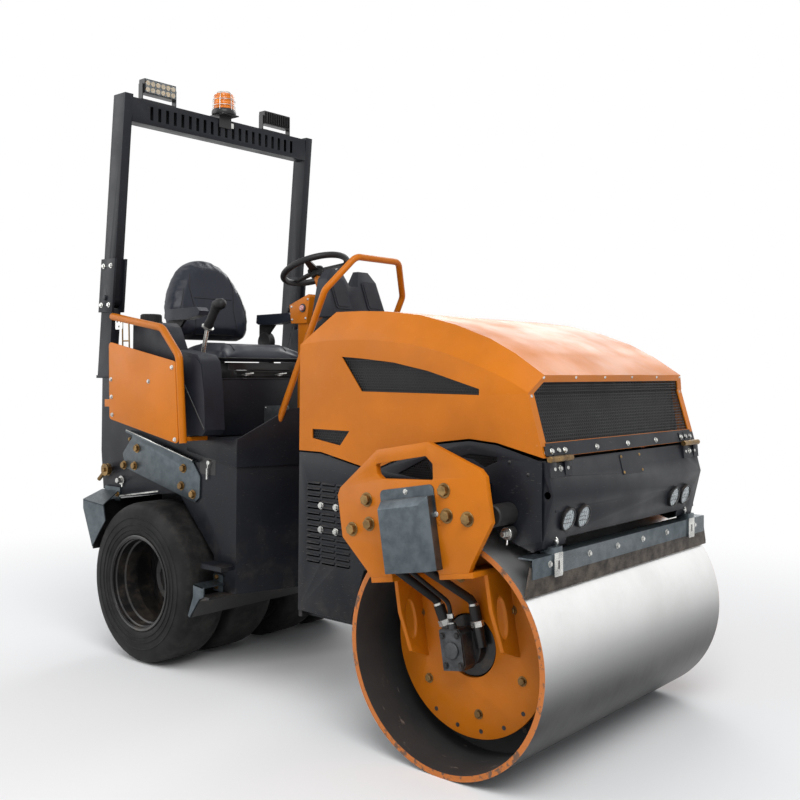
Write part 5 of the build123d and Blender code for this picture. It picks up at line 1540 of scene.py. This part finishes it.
    def step(self) -> None:
        """Rung with a toothed top on each side."""
        rung = Shape().block(rear_spot(340, -466, 424), rear_spot(462, -404, 440))
        for number in range(11):
            x = 338 + 11 * number
            rung.prism_y([(ax(x), 0.44), (ax(x + 8), 0.44), (ax(x + 4), 0.446)], -0.466, -0.404)
        rung.mirrored().piece("step_rungs", Slot.DARK, "rear_frame")

    def build(self) -> None:
        """Add everything on the rear body."""
        self.fasteners()
        self.strips()
        self.lock()
        self.box_plate()
        self.yoke()
        self.scrapers()
        self.step()


@dataclass
class Tanks:
    """Moulded side tanks in two lobes, with ribbed caps."""

    inner: float = -403.6
    cap_x: float = -25.0

    def build(self) -> None:
        """Add the lobes, the painted shade of their grooves and the caps."""
        tall = [(-90, 942), (150, 942), (178, 1262), (122, 1368), (92, 1387), (-90, 1393)]
        front = [(60, 942), (378, 942), (400, 964), (388, 1110), (370, 1228), (342, 1256), (205, 1276),
                 (60, 1284)]
        raised = [(262, 1148), (398, 968), (390, 1100), (368, 1218), (336, 1246), (262, 1256)]
        tank = []
        for outline, low, high, round_by in ((tall, -0.493, -0.408, 0.022),
                                             (front, -0.4965, self.inner * MM, 0.02),
                                             (raised, -0.4995, -0.42, 0.014)):
            lobe = Shape().prism_y(rear_flat(outline), low, high).bevel(round_by, 5)
            tank.append(lobe.mesh("lobe", 40))
        tank += [twin(mesh) for mesh in tank]
        settle(joined("tanks", tank), "tanks", Slot.TANK, "rear_frame", ("side_tanks",))
        # Painted shade: a black tube laid along the crease between the lobes.
        route = ((252, 1168), (256, 1150), (330, 1050), (392, 966))
        groove_shade = Shape().tube([rear_spot(x, -497.5, z) for x, z in route], 0.004, 10)
        groove_shade.mirrored().piece("tank_grooves", Slot.BLACK, "rear_frame", angle=60)
        cap = Shape()
        middle = rear_spot(self.cap_x, -450.6, 1388)
        cap.lathe([(0, 0), (0, 0.047), (0.008, 0.047), (0.01, 0.043), (0.034, 0.042), (0.038, 0.038),
                   (0.038, 0)], middle, UP, 48, False)
        for angle in turns(30):
            way = heading(angle)
            cap.rod(middle + way * 0.0425 + Vector((0, 0, 0.011)),
                    middle + way * 0.0415 + Vector((0, 0, 0.034)), 0.0022, 8)
        cap.mirrored().piece("tank_caps", Slot.PLASTIC, "rear_frame")


@dataclass
class Guards:
    """Screws, wire bracket and small plate of the side guards."""

    screw_y: float = -556.4
    wire_y: float = -528.0
    post_y: float = -536.0

    def build(self) -> None:
        """Add the screws and brackets."""
        places = ((-150, 1154), (-145, 1081), (-138, 1007), (262, 1206), (286, 926), (111, 1149))
        BOLTS.sides("guard_screws", Bolts.NUT, Slot.BRIGHT, "rear_frame", rear_spot, self.screw_y, places,
                    0.0056)
        wires = Shape()
        for x in (-117, -70):
            top = rear_spot(x, self.wire_y, 1402 - (x + 117) * 0.25)
            wires.rod(top, rear_spot(x + 8, self.wire_y, 1230), 0.0032, 10)
        wires.rod(rear_spot(-114, self.wire_y, 1314), rear_spot(-66, self.wire_y, 1314), 0.0032, 10)
        wires.mirrored().piece("wire_brackets", Slot.YELLOW, "rear_frame", angle=60)
        small = laid(rounded_box(-150, -100, 1362, 1406, 6), rear_side(self.post_y), 3)
        small.bevel(0.0006).mirrored().piece("post_small_plates", Slot.BRIGHT, "rear_frame")
        # Thin black discs on the small plate: painted shade where its holes are.
        hole_shades = Shape()
        for x, z in ((-138, 1394), (-112, 1394), (-125, 1374)):
            hole_shades.rod(rear_spot(x, -539, z), rear_spot(x, -539.5, z), 0.005, 16)
        hole_shades.mirrored().piece("small_plate_holes", Slot.BLACK, "rear_frame")


@dataclass
class Wheels:
    """Smooth tyres with ringed sidewalls, stepped rims, wheel bolts and valves."""

    inner_y: float = 157.0
    outer_y: float = 415.0
    disc_y: float = 320.0
    edge: tuple[Flat, ...] = (
        (86, 187.6), (95, 190), (102, 196), (106.5, 205), (107.6, 214), (110.6, 215.5), (110.6, 219),
        (107.8, 220.5), (108, 234), (110.8, 235.5), (110.8, 240), (108, 241.5), (107.6, 262),
        (109.6, 263.5), (109.6, 267), (107, 268.5), (105.6, 284), (102.5, 297), (97, 308), (89, 316.5),
        (79, 321.6), (66, 324.2), (42, 325), (0, 325))

    def tyres(self) -> None:
        """Four tyres, each on its own node's place."""
        profile = metres(self.edge)
        profile += [(-along, radius) for along, radius in reversed(profile[:-1])]
        for side, word in ((-1, "right"), (1, "left")):
            for y, which in ((self.inner_y, "inner"), (self.outer_y, "outer")):
                shape = Shape().lathe(profile, rear_spot(0, side * y, TYRE_R / MM), LEFT, 112)
                shape.piece(f"{word}_{which}_smooth_tyre", Slot.TYRE, f"{word}_wheels",
                            (f"{word}_{which}_tyre",), 50)

    def rims(self) -> None:
        """Stepped rings in the rims, hub, bolts and valve."""
        for side, word in ((-1, "right"), (1, "left")):
            way = Vector((0, side, 0))
            middle = rear_spot(0, side * self.outer_y, TYRE_R / MM)
            rim = Shape()
            rim.lathe([(0.1005, 0.1795), (0.1005, 0.193), (0.1045, 0.1935), (0.1065, 0.190), (0.104, 0.184),
                       (0.088, 0.179), (0.084, 0.174), (0.05, 0.172), (0.045, 0.166), (-0.01, 0.164),
                       (-0.014, 0.1795)], middle, way, 96)
            disc = rear_spot(0, side * self.disc_y, TYRE_R / MM)
            rim.lathe([(0, 0), (0.008, 0.178), (0.012, 0.165), (0.01, 0.15), (0.024, 0.135), (0.026, 0.112),
                       (0.016, 0.1), (0.016, 0.062), (0.046, 0.058), (0.049, 0.052), (0.049, 0.03),
                       (0.056, 0.027), (0.056, 0)], disc, way, 72, False)
            rim.piece(f"{word}_rim_rings", Slot.BLACK, f"{word}_wheels", angle=40)
            ring = [(0.081 * math.cos(angle), 0.081 * math.sin(angle)) for angle in turns(8)]
            spots = [(disc + Vector((x, side * 0.016, z)), way, 0.0085) for x, z in ring]
            BOLTS.set(f"{word}_wheel_bolts", Bolts.HEX, Slot.IRON, f"{word}_wheels", spots)
            valve = Shape().rod(disc + Vector((0.1, side * 0.012, 0.11)),
                                disc + Vector((0.1, side * 0.05, 0.112)), 0.004, 12, 0.001)
            valve.piece(f"{word}_valve", Slot.YELLOW, f"{word}_wheels")

    def build(self) -> None:
        """Add the tyres and the rims."""
        self.tyres()
        self.rims()


@dataclass(frozen=True)
class Padding:
    """Fabric over foam: a closed form puffed by cloth pressure, then seams laid on it."""

    rise: float = 0.022
    pressure: float = 3.0
    voxel: float = 0.006
    frames: int = 20
    passes: int = 9
    seam_radius: float = 0.0022

    def puff(self, mesh: Mesh, held: Callable[[Vector], bool]) -> Mesh:
        """Puff a closed mesh.

        Args:
            mesh: Closed form, slightly smaller than the finished cushion.
            held: Whether a spot stays in its place.

        Returns:
            The puffed mesh.
        """
        body = placed("padding", mesh)
        remesh = body.modifiers.new("remesh", "REMESH")
        remesh.mode, remesh.voxel_size, remesh.use_smooth_shade = "VOXEL", self.voxel, True
        fine = evaluated(body)
        body.modifiers.clear()
        body.data = fine
        rest = [vert.co.copy() for vert in fine.vertices]
        group = body.vertex_groups.new(name="held")
        group.add([index for index, spot in enumerate(rest) if held(spot)], 1.0, "REPLACE")
        cloth = body.modifiers.new("cloth", "CLOTH").settings
        cloth.use_pressure, cloth.uniform_pressure_force = True, self.pressure
        cloth.vertex_group_mass, cloth.effector_weights.gravity = "held", 0.0
        for number in range(1, self.frames + 1):
            bpy.context.scene.frame_set(number)
        fine = evaluated(body)
        for vert, start in zip(fine.vertices, rest):
            move = vert.co - start
            if move.length > self.rise:
                vert.co = start + move * (self.rise / move.length)
        bpy.context.scene.frame_set(1)
        bpy.data.objects.remove(body)
        work = bmesh.new()
        work.from_mesh(fine)
        for _ in range(self.passes):
            bmesh.ops.smooth_vert(work, verts=work.verts, factor=0.5, use_axis_x=True, use_axis_y=True,
                                  use_axis_z=True)
        work.to_mesh(fine)
        work.free()
        return fine

    def finish(self, mesh: Mesh, name: str, node: str) -> None:
        """Settle a puffed mesh for a node, with one subdivision."""
        thing = settle(mesh, name, Slot.VINYL, "rear_frame", (node,))
        smoother = thing.modifiers.new("subdivision", "SUBSURF")
        smoother.levels = smoother.render_levels = 1

    def seam(self, mesh: Mesh, line: Sequence[Vector], way: Vector, shape: Shape) -> None:
        """Lay a seam on a mesh where rays along a direction meet it."""
        work = bmesh.new()
        work.from_mesh(mesh)
        tree = BVHTree.FromBMesh(work)
        hits = [tree.ray_cast(spot - way * 0.3, way)[0] for spot in line]
        work.free()
        hits = [hit for hit in hits if hit is not None]
        if len(hits) > 1:
            shape.tube(hits, self.seam_radius, 8)


@dataclass
class Seat:
    """Cushion, shield-shaped back, armrests, piping, latches and the travel lever."""

    lean: float = math.radians(12.7)
    lever_y: float = -330.0

    def back_place(self, depth: float, y: float, height: float) -> Vector:
        """Place on the leaning back, in millimetres."""
        cos, sin = math.cos(self.lean), math.sin(self.lean)
        return rear_spot(-233 + depth * cos - height * sin, y, 1306 + depth * sin + height * cos)

    def cushions(self) -> None:
        """Puffed cushion and back with their seams and piping."""
        padding = Padding()
        profile = ((-112, 1233), (168, 1233), (184, 1248), (170, 1280), (60, 1290), (-112, 1286))
        form = Shape().prism_y(rear_flat(profile), -0.228, 0.228).bevel(0.016, 3)
        cushion = padding.puff(form.mesh("cushion_form"), lambda spot: spot.z < 1.238)
        padding.finish(cushion, "cushion_pad", "seat_cushion")
        halves = ((20, 176), (42, 204), (96, 224), (165, 226), (235, 205), (295, 172), (345, 136), (376, 96),
                  (396, 48), (400, 0))
        near = 14
        loop = halves + tuple((h, -y) for h, y in reversed(halves[:-1]))
        outline = [self.back_place(near, y, h) for h, y in loop]
        way = self.back_place(76, 0, 0) - self.back_place(near, 0, 0)
        form = Shape().prism(outline, way).bevel(0.02, 3)
        behind = self.back_place(near + 8, 0, 0)
        back = padding.puff(form.mesh("back_form"), lambda spot: (spot - behind).dot(way.normalized()) < 0)
        padding.finish(back, "back_pad", "seat_back")
        seams, forward = Shape(), way.normalized()
        for side in (-1, 1):
            for line in (((40, 120), (150, 112), (250, 128), (330, 108)),
                         ((60, 190), (150, 186), (260, 150))):
                spots = [self.back_place(40, side * y, h) for (h0, y0), (h1, y1) in zip(line, line[1:])
                         for h, y in ((h0 + (h1 - h0) * t / 6, y0 + (y1 - y0) * t / 6) for t in range(6))]
                padding.seam(back, spots, -forward, seams)
            line = [rear_spot(-100 + 12 * n, side * 150, 1250) for n in range(22)]
            padding.seam(cushion, line, Vector((0, 0, -1)), seams)
        for height in (36, 200):
            padding.seam(back, [self.back_place(40, y, height) for y in range(-108, 109, 12)], -forward,
                         seams)
        loop = [rear_spot(x, y, 1246) for x, y in rounded_box(-116, 186, -236, 236, 26)]
        seams.tube(loop, 0.0042, 10, closed=True)
        seams.piece("seat_seams", Slot.PLASTIC, "rear_frame", angle=60)

    def arms(self) -> None:
        """Padded rests, their brackets and round joint covers."""
        pad, frame_parts = Shape(), Shape()
        side = rear_side(-290)
        profile = [(-154, 1420), (-150, 1458), (70, 1462), (90, 1446), (84, 1428), (0, 1412), (-60, 1410),
                   (-140, 1412)]
        pad.prism_y(rear_flat(profile), -0.291, -0.239).bevel(0.014, 4, 20)
        pad.mirrored().piece("armrest_pads", Slot.VINYL, "rear_frame", ("armrests",), 50)
        laid([(-150, 1200), (-92, 1200), (-92, 1360), (-40, 1412), (-150, 1412)],
             side @ Matrix.Translation((0, 0, -0.034)), 12, frame_parts)
        frame_parts.rod(rear_spot(-112, -250, 1330), rear_spot(-112, -286, 1330), 0.046, 40, 0.005)
        frame_parts.rod(rear_spot(-104, -250, 1232), rear_spot(-104, -282, 1232), 0.036, 40, 0.005)
        frame_parts.bevel(0.003).mirrored().piece("armrest_brackets", Slot.PLASTIC, "rear_frame")

    def latches(self) -> None:
        """Bright loops of the seat's slide and a dark suspension skirt with folds."""
        loops = Shape()
        for y in (-150, 40):
            route = [(206, y, 1176), (222, y + 6, 1180), (224, y + 44, 1182), (206, y + 52, 1178),
                     (200, y + 26, 1172)]
            loops.tube([rear_spot(*spot) for spot in route], 0.004, 10, closed=True)
        loops.piece("seat_latches", Slot.BRIGHT, "rear_frame", angle=60)
        skirt = Shape()
        for number in range(4):
            grow = 6 if number % 2 else 0
            z = 1162 + 8 * number
            outline = rounded_box(-118 - grow, 176 + grow, -176 - grow, 176 + grow, 20)
            laid(outline, plane(rear_spot(0, 0, z), FORWARD, LEFT), 8, skirt)
        skirt.bevel(0.002, 2).piece("seat_skirt", Slot.HOSE, "rear_frame")

    def lever(self) -> None:
        """Travel lever: folded boot, bright shaft, collar and shaped grip."""
        y = self.lever_y
        boot, shaft, grip = Shape(), Shape(), Shape()
        boot.lathe([(0, 0), (0, 0.05), (0.01, 0.05), (0.014, 0.042), (0.022, 0.044), (0.028, 0.034),
                    (0.036, 0.035), (0.044, 0.022), (0.056, 0.014), (0.056, 0)],
                   rear_spot(156, y, 1158), (0.12, 0, 1), 36, False)
        shaft.tube([rear_spot(x, y, z) for x, z in ((158, 1180), (164, 1240), (178, 1310), (196, 1374))],
                   0.0092, 18)
        way = Vector((73, 0, 112)).normalized()
        foot = rear_spot(196, y, 1372)
        shaft.lathe([(0, 0), (0, 0.025), (0.006, 0.026), (0.008, 0.02), (0.008, 0)], foot - way * 0.004, way,
                    32, False)
        grip.lathe([(0, 0), (0, 0.019), (0.01, 0.0205), (0.03, 0.0175), (0.045, 0.0195), (0.06, 0.0175),
                    (0.078, 0.02), (0.098, 0.022), (0.104, 0.02), (0.104, 0)],
                   foot + way * 0.005, way, 32, False)
        head = foot + way * 0.108 + Vector((0.008, 0, 0))
        grip.lathe([(-0.034, 0), (-0.031, 0.012), (-0.02, 0.021), (0, 0.025), (0.022, 0.022), (0.034, 0.014),
                    (0.038, 0)], head, (0.9, 0, 0.15), 32, False)
        boot.piece("lever_boot", Slot.HOSE, "rear_frame", ("control_lever",), 50)
        shaft.piece("lever_shaft", Slot.BRIGHT, "rear_frame", angle=50)
        grip.piece("lever_grip", Slot.PLASTIC, "rear_frame", angle=60)

    def build(self) -> None:
        """Add everything on the seat."""
        self.cushions()
        self.arms()
        self.latches()
        self.lever()


@dataclass
class Steering:
    """Thick wheel with three spokes, the box's button and the console's panels."""

    tilt: float = math.radians(22)
    centre: Point = (486, 0, 1620)

    def wheel(self) -> None:
        """Rim, spokes and hub, tilted to the driver."""
        thick, middle = 0.0132, 0.1365
        ring = [(thick * math.sin(angle), middle + thick * math.cos(angle)) for angle in turns(28)]
        wheel = Shape().lathe(ring, ORIGIN, UP, 96)
        for number in range(3):
            angle = math.radians(120 * number + 60)
            way = heading(angle)
            across = Vector((-way.y, way.x, 0))
            near, far = way * 0.02 + Vector((0, 0, -0.014)), way * 0.131 + Vector((0, 0, -0.003))
            corners = [near - across * 0.017, near + across * 0.017, far + across * 0.011,
                       far - across * 0.011]
            wheel.prism(corners, Vector((0, 0, 0.009)))
        wheel.bevel(0.002, 2, 50)
        wheel.lathe([(-0.032, 0), (-0.032, 0.025), (-0.012, 0.026), (-0.004, 0.034), (0.002, 0.033),
                     (0.007, 0.022), (0.008, 0)], ORIGIN, UP, 48, False)
        place = Matrix.Translation(rear_spot(*self.centre)) @ Matrix.Rotation(-self.tilt, 4, "Y")
        wheel.turned(place).piece("wheel_and_spokes", Slot.PLASTIC, "steering_wheel", ("steering_wheel",), 50)

    def build(self) -> None:
        """Add the wheel, the button and the panels."""
        self.wheel()
        button = Shape().rod(rear_spot(478, -62, 1455), rear_spot(478, -74, 1455), 0.012, 28, 0.003)
        settle(button.mesh("stop_button"), "stop_button", Slot.PLASTIC, "rear_frame", material=FINISH.red)
        collar = Shape().rod(rear_spot(478, -62, 1455), rear_spot(478, -66, 1455), 0.018, 28, 0.001)
        collar.piece("button_collar", Slot.BLACK, "rear_frame")
        places = ((414, 1408), (494, 1412), (506, 1490), (410, 1462))
        BOLTS.sides("box_screws", Bolts.DOME, Slot.BRIGHT, "rear_frame", rear_spot, -62, places, 0.0038)
        panels = Shape()
        for side in (-1, 1):
            face = plane(rear_spot(744, side * 92, 1440), LEFT, (-0.379, 0, 1))
            laid(rounded_box(-44, 44, 0, 128, 14), face, 2.4, panels)
            laid(rounded_box(-34, 34, 10, 118, 10), face, 4.2, panels)
        panels.bevel(0.0012).piece("console_panels", Slot.TANK, "rear_frame")


@dataclass
class Canopy:
    """Bolts, bar lamps and caged beacon of the safety frame."""

    face: float = -1724.0
    top: float = 2340.0
    post_lean: float = math.radians(4.6)

    def bolts(self) -> None:
        """Silver bolts on the fold plates and the feet."""
        lean = math.tan(self.post_lean)
        places = [(-1718 - (2350 - z) * lean - back, z) for z in (1466, 1630) for back in (14, 68)]
        BOLTS.sides("fold_plate_bolts", Bolts.HEX, Slot.BRIGHT, "rear_frame", front_spot, -553.5, places,
                    0.0062)
        up = Vector(UP)
        spots = [(front_spot(-1718 - 1180 * lean - back, -420, 1170), up, 0.0075) for back in (10, 72)]
        BOLTS.set("post_foot_bolts", Bolts.HEX, Slot.BRIGHT, "rear_frame", spots, mirror=True)

    def lamp(self, name: str, y: float, ahead: int) -> None:
        """Bar lamp with a finned back, a dark bezel and two rows of cells.

        Args:
            name: Name that its pieces start with.
            y: Middle of the lamp.
            ahead: 1 if it looks forward, -1 if it looks back.
        """
        x = self.face - 16
        body = Shape().block(front_spot(x - 20, y - 81, self.top + 28),
                             front_spot(x + 20, y + 81, self.top + 90)).bevel(0.006, 3)
        for number in range(13):
            place = y - 72 + 12 * number
            back = sorted((x - ahead * 20, x - ahead * 29))
            body.block(front_spot(back[0], place - 1.5, self.top + 33),
                       front_spot(back[1], place + 1.5, self.top + 85))
        for near, far, tall in ((-88, -84, 70), (84, 88, 70), (-88, 88, 4)):
            body.block(front_spot(x - 14, y + near, self.top), front_spot(x + 14, y + far, self.top + tall))
        body.piece(name + "_body", Slot.BLACK, "safety_frame", ("work_lamps",) if ahead > 0 else ())
        cells = Shape()
        for row in (-1, 1):
            for column in range(6):
                place = front_spot(x + ahead * 20, y - 65 + 26 * column, self.top + 59 + row * 13.5)
                cells.rod(place, place + Vector((ahead * 0.0022, 0, 0)), 0.0105, 20, 0.0005)
        settle(cells.mesh(name + "_cells"), name + "_cells", Slot.GLASS, "safety_frame", material=FINISH.warm)
        low, high = sorted((x + ahead * 22.6, x + ahead * 24.4))
        glass = Shape().block(front_spot(low, y - 78, self.top + 32),
                              front_spot(high, y + 78, self.top + 86)).bevel(0.0006)
        glass.piece(name + "_glass", Slot.GLASS, "safety_frame")

    def beacon(self) -> None:
        """Amber dome on a dark base in a chrome cage, on its folded bracket."""
        middle = front_spot(self.face, -15, self.top + 18)
        base, dome, cage = Shape(), Shape(), Shape()
        base.lathe([(0, 0), (0, 0.054), (0.006, 0.056), (0.016, 0.055), (0.024, 0.05), (0.024, 0)], middle,
                   UP, 56, False)
        base.block(front_spot(self.face, -45, self.top - 40), front_spot(self.face + 5, 25, self.top + 17))
        base.block(front_spot(self.face - 50, -55, self.top + 13),
                   front_spot(self.face + 46, 35, self.top + 17.6))
        profile = [(0.024, 0.0), (0.024, 0.045)]
        for number in range(6):
            low, taper = 0.028 + number * 0.011, number * 0.0004
            profile += [(low, 0.0462 - taper), (low + 0.006, 0.0462 - taper), (low + 0.0085, 0.0445 - taper)]
        profile += [(0.094, 0.04), (0.0985, 0.03), (0.1005, 0.0)]
        dome.lathe(profile, middle, UP, 64, False)
        for height, radius in ((0.04, 0.051), (0.066, 0.0505), (0.1025, 0.03)):
            ring = [middle + Vector((radius * math.cos(a), radius * math.sin(a), height)) for a in turns(40)]
            cage.tube(ring, 0.0017, 8, closed=True)
        for angle in turns(6):
            way = heading(angle)
            route = [(0.053, 0.018), (0.051, 0.04), (0.0505, 0.066), (0.046, 0.09), (0.03, 0.1025)]
            cage.tube([middle + way * radius + Vector((0, 0, height)) for radius, height in route], 0.0017, 8)
        base.piece("beacon_base", Slot.BLACK, "safety_frame", ("beacon",))
        dome.piece("beacon_dome", Slot.AMBER, "safety_frame", angle=20)
        cage.piece("beacon_cage", Slot.BRIGHT, "safety_frame", angle=60)
        small = laid(rounded_box(-18, 41, 2306, 2329, 3), plane(front_spot(self.face + 0.2, 0, 0), LEFT, UP),
                     3)
        small.bevel(0.0005).piece("beam_small_plate", Slot.BRIGHT, "safety_frame")

    def build(self) -> None:
        """Add everything on the safety frame."""
        self.bolts()
        self.lamp("right_lamp", -366, 1)
        self.lamp("left_lamp", 310, -1)
        self.beacon()


@dataclass
class Studio:
    """Pale floor, soft light and the camera of the reference view."""

    eye: Point = (2.6876, -2.9128, 1.2077)
    yaw: float = 40.413
    pitch: float = 1.0795
    roll: float = 0.4158
    lens: float = 44.497
    shift_y: float = -0.06266
    reach: float = 30.0
    fade: Flat = (4.2, 1.9)
    lamps: tuple[tuple[str, Point, float, float], ...] = (
        ("key", (3.5, -3.0, 5.5), 4.0, 260), ("fill", (-4.5, -4.0, 3.5), 5.0, 130),
        ("rim", (-2.0, 5.5, 4.5), 4.0, 140))

    def camera(self) -> None:
        """Place the camera from its yaw, pitch and roll."""
        yaw, pitch, roll = (math.radians(angle) for angle in (self.yaw, self.pitch, self.roll))
        forward = Vector((-math.sin(yaw) * math.cos(pitch), math.cos(yaw) * math.cos(pitch), math.sin(pitch)))
        right = heading(yaw)
        up = right.cross(forward)
        side = right * math.cos(roll) + up * math.sin(roll)
        top = up * math.cos(roll) - right * math.sin(roll)
        data = bpy.data.cameras.new("camera")
        data.lens, data.sensor_width, data.shift_y = self.lens, 36.0, self.shift_y
        data.clip_end = 60.0
        thing = placed("camera", data)
        turn = Matrix((side, top, -forward)).transposed().to_4x4()
        thing.matrix_world = Matrix.Translation(self.eye) @ turn
        bpy.context.scene.camera = thing

    def lamp(self, name: str, place: Point, size: float, power: float) -> None:
        """Add a square soft lamp that looks at the machine."""
        data = bpy.data.lights.new(name, "AREA")
        data.shape, data.size, data.energy = "SQUARE", size, power
        aim = Vector((0, 0, 0.9)) - Vector(place)
        thing = placed(name, data)
        thing.matrix_world = Matrix.Translation(place) @ aim.to_track_quat("-Z", "Y").to_matrix().to_4x4()

    def world(self) -> None:
        """White to the camera, to reflections and through glass, plain grey light on the machine."""
        world = bpy.data.worlds.new("studio")
        bpy.context.scene.world = world
        world.use_nodes = True
        nodes, links = world.node_tree.nodes, world.node_tree.links
        nodes.clear()
        path = nodes.new("ShaderNodeLightPath").outputs
        seen = path["Is Camera Ray"]
        for kind in ("Is Glossy Ray", "Is Transmission Ray"):
            either = nodes.new("ShaderNodeMath")
            either.operation = "MAXIMUM"
            links.new(seen, either.inputs[0])
            links.new(path[kind], either.inputs[1])
            seen = either.outputs[0]
        mix = nodes.new("ShaderNodeMixShader")
        grey, white = nodes.new("ShaderNodeBackground"), nodes.new("ShaderNodeBackground")
        grey.inputs[0].default_value, grey.inputs[1].default_value = (0.95, 0.97, 1.0, 1.0), 0.5
        white.inputs[0].default_value, white.inputs[1].default_value = (1, 1, 1, 1), 1.0
        links.new(seen, mix.inputs[0])
        links.new(grey.outputs[0], mix.inputs[1])
        links.new(white.outputs[0], mix.inputs[2])
        links.new(mix.outputs[0], nodes.new("ShaderNodeOutputWorld").inputs[0])

    def floor(self) -> None:
        """Pale floor that keeps the machine's shadow and fades to white far from it."""
        graph = Graph("studio_floor")
        x, y, _ = graph.axes()
        away = graph.away(x, y)
        near = graph.step(away, *self.fade)
        far = graph.minus(1.0, near)
        graph.set(Base_Color=graph.mix(near, (0, 0, 0, 1), (0.88, 0.88, 0.88, 1.0)), Roughness=0.85,
                  Specular_IOR_Level=0.0, Emission_Color=(1, 1, 1, 1), Emission_Strength=far)
        mesh = bpy.data.meshes.new("floor")
        corners = [(x * self.reach, y * self.reach, 0) for x, y in ((-1, -1), (1, -1), (1, 1), (-1, 1))]
        mesh.from_pydata(corners, [], [[0, 1, 2, 3]])
        mesh.materials.append(graph.material)
        thing = placed("floor", mesh)

    def build(self) -> None:
        """Set the whole studio."""
        self.camera()
        self.world()
        self.floor()
        for name, place, size, power in self.lamps:
            self.lamp(name, place, size, power)
        bpy.context.scene.view_settings.view_transform = "Standard"


def main() -> None:
    """Build every sub-assembly in order and report each piece."""
    logging.basicConfig(level=logging.INFO, format="%(message)s")
    Frame().dress()
    assemblies = (Hood(), Bumper(), DrumScraper(), Fork(), Panels(), RearBody(), Tanks(), Guards(), Wheels(),
                  Seat(), Steering(), Canopy(), Studio())
    for assembly in assemblies:
        assembly.build()
        LOG.info("built %s", type(assembly).__name__)
    BOLTS.clear()


if __name__ == "__main__":
    main()
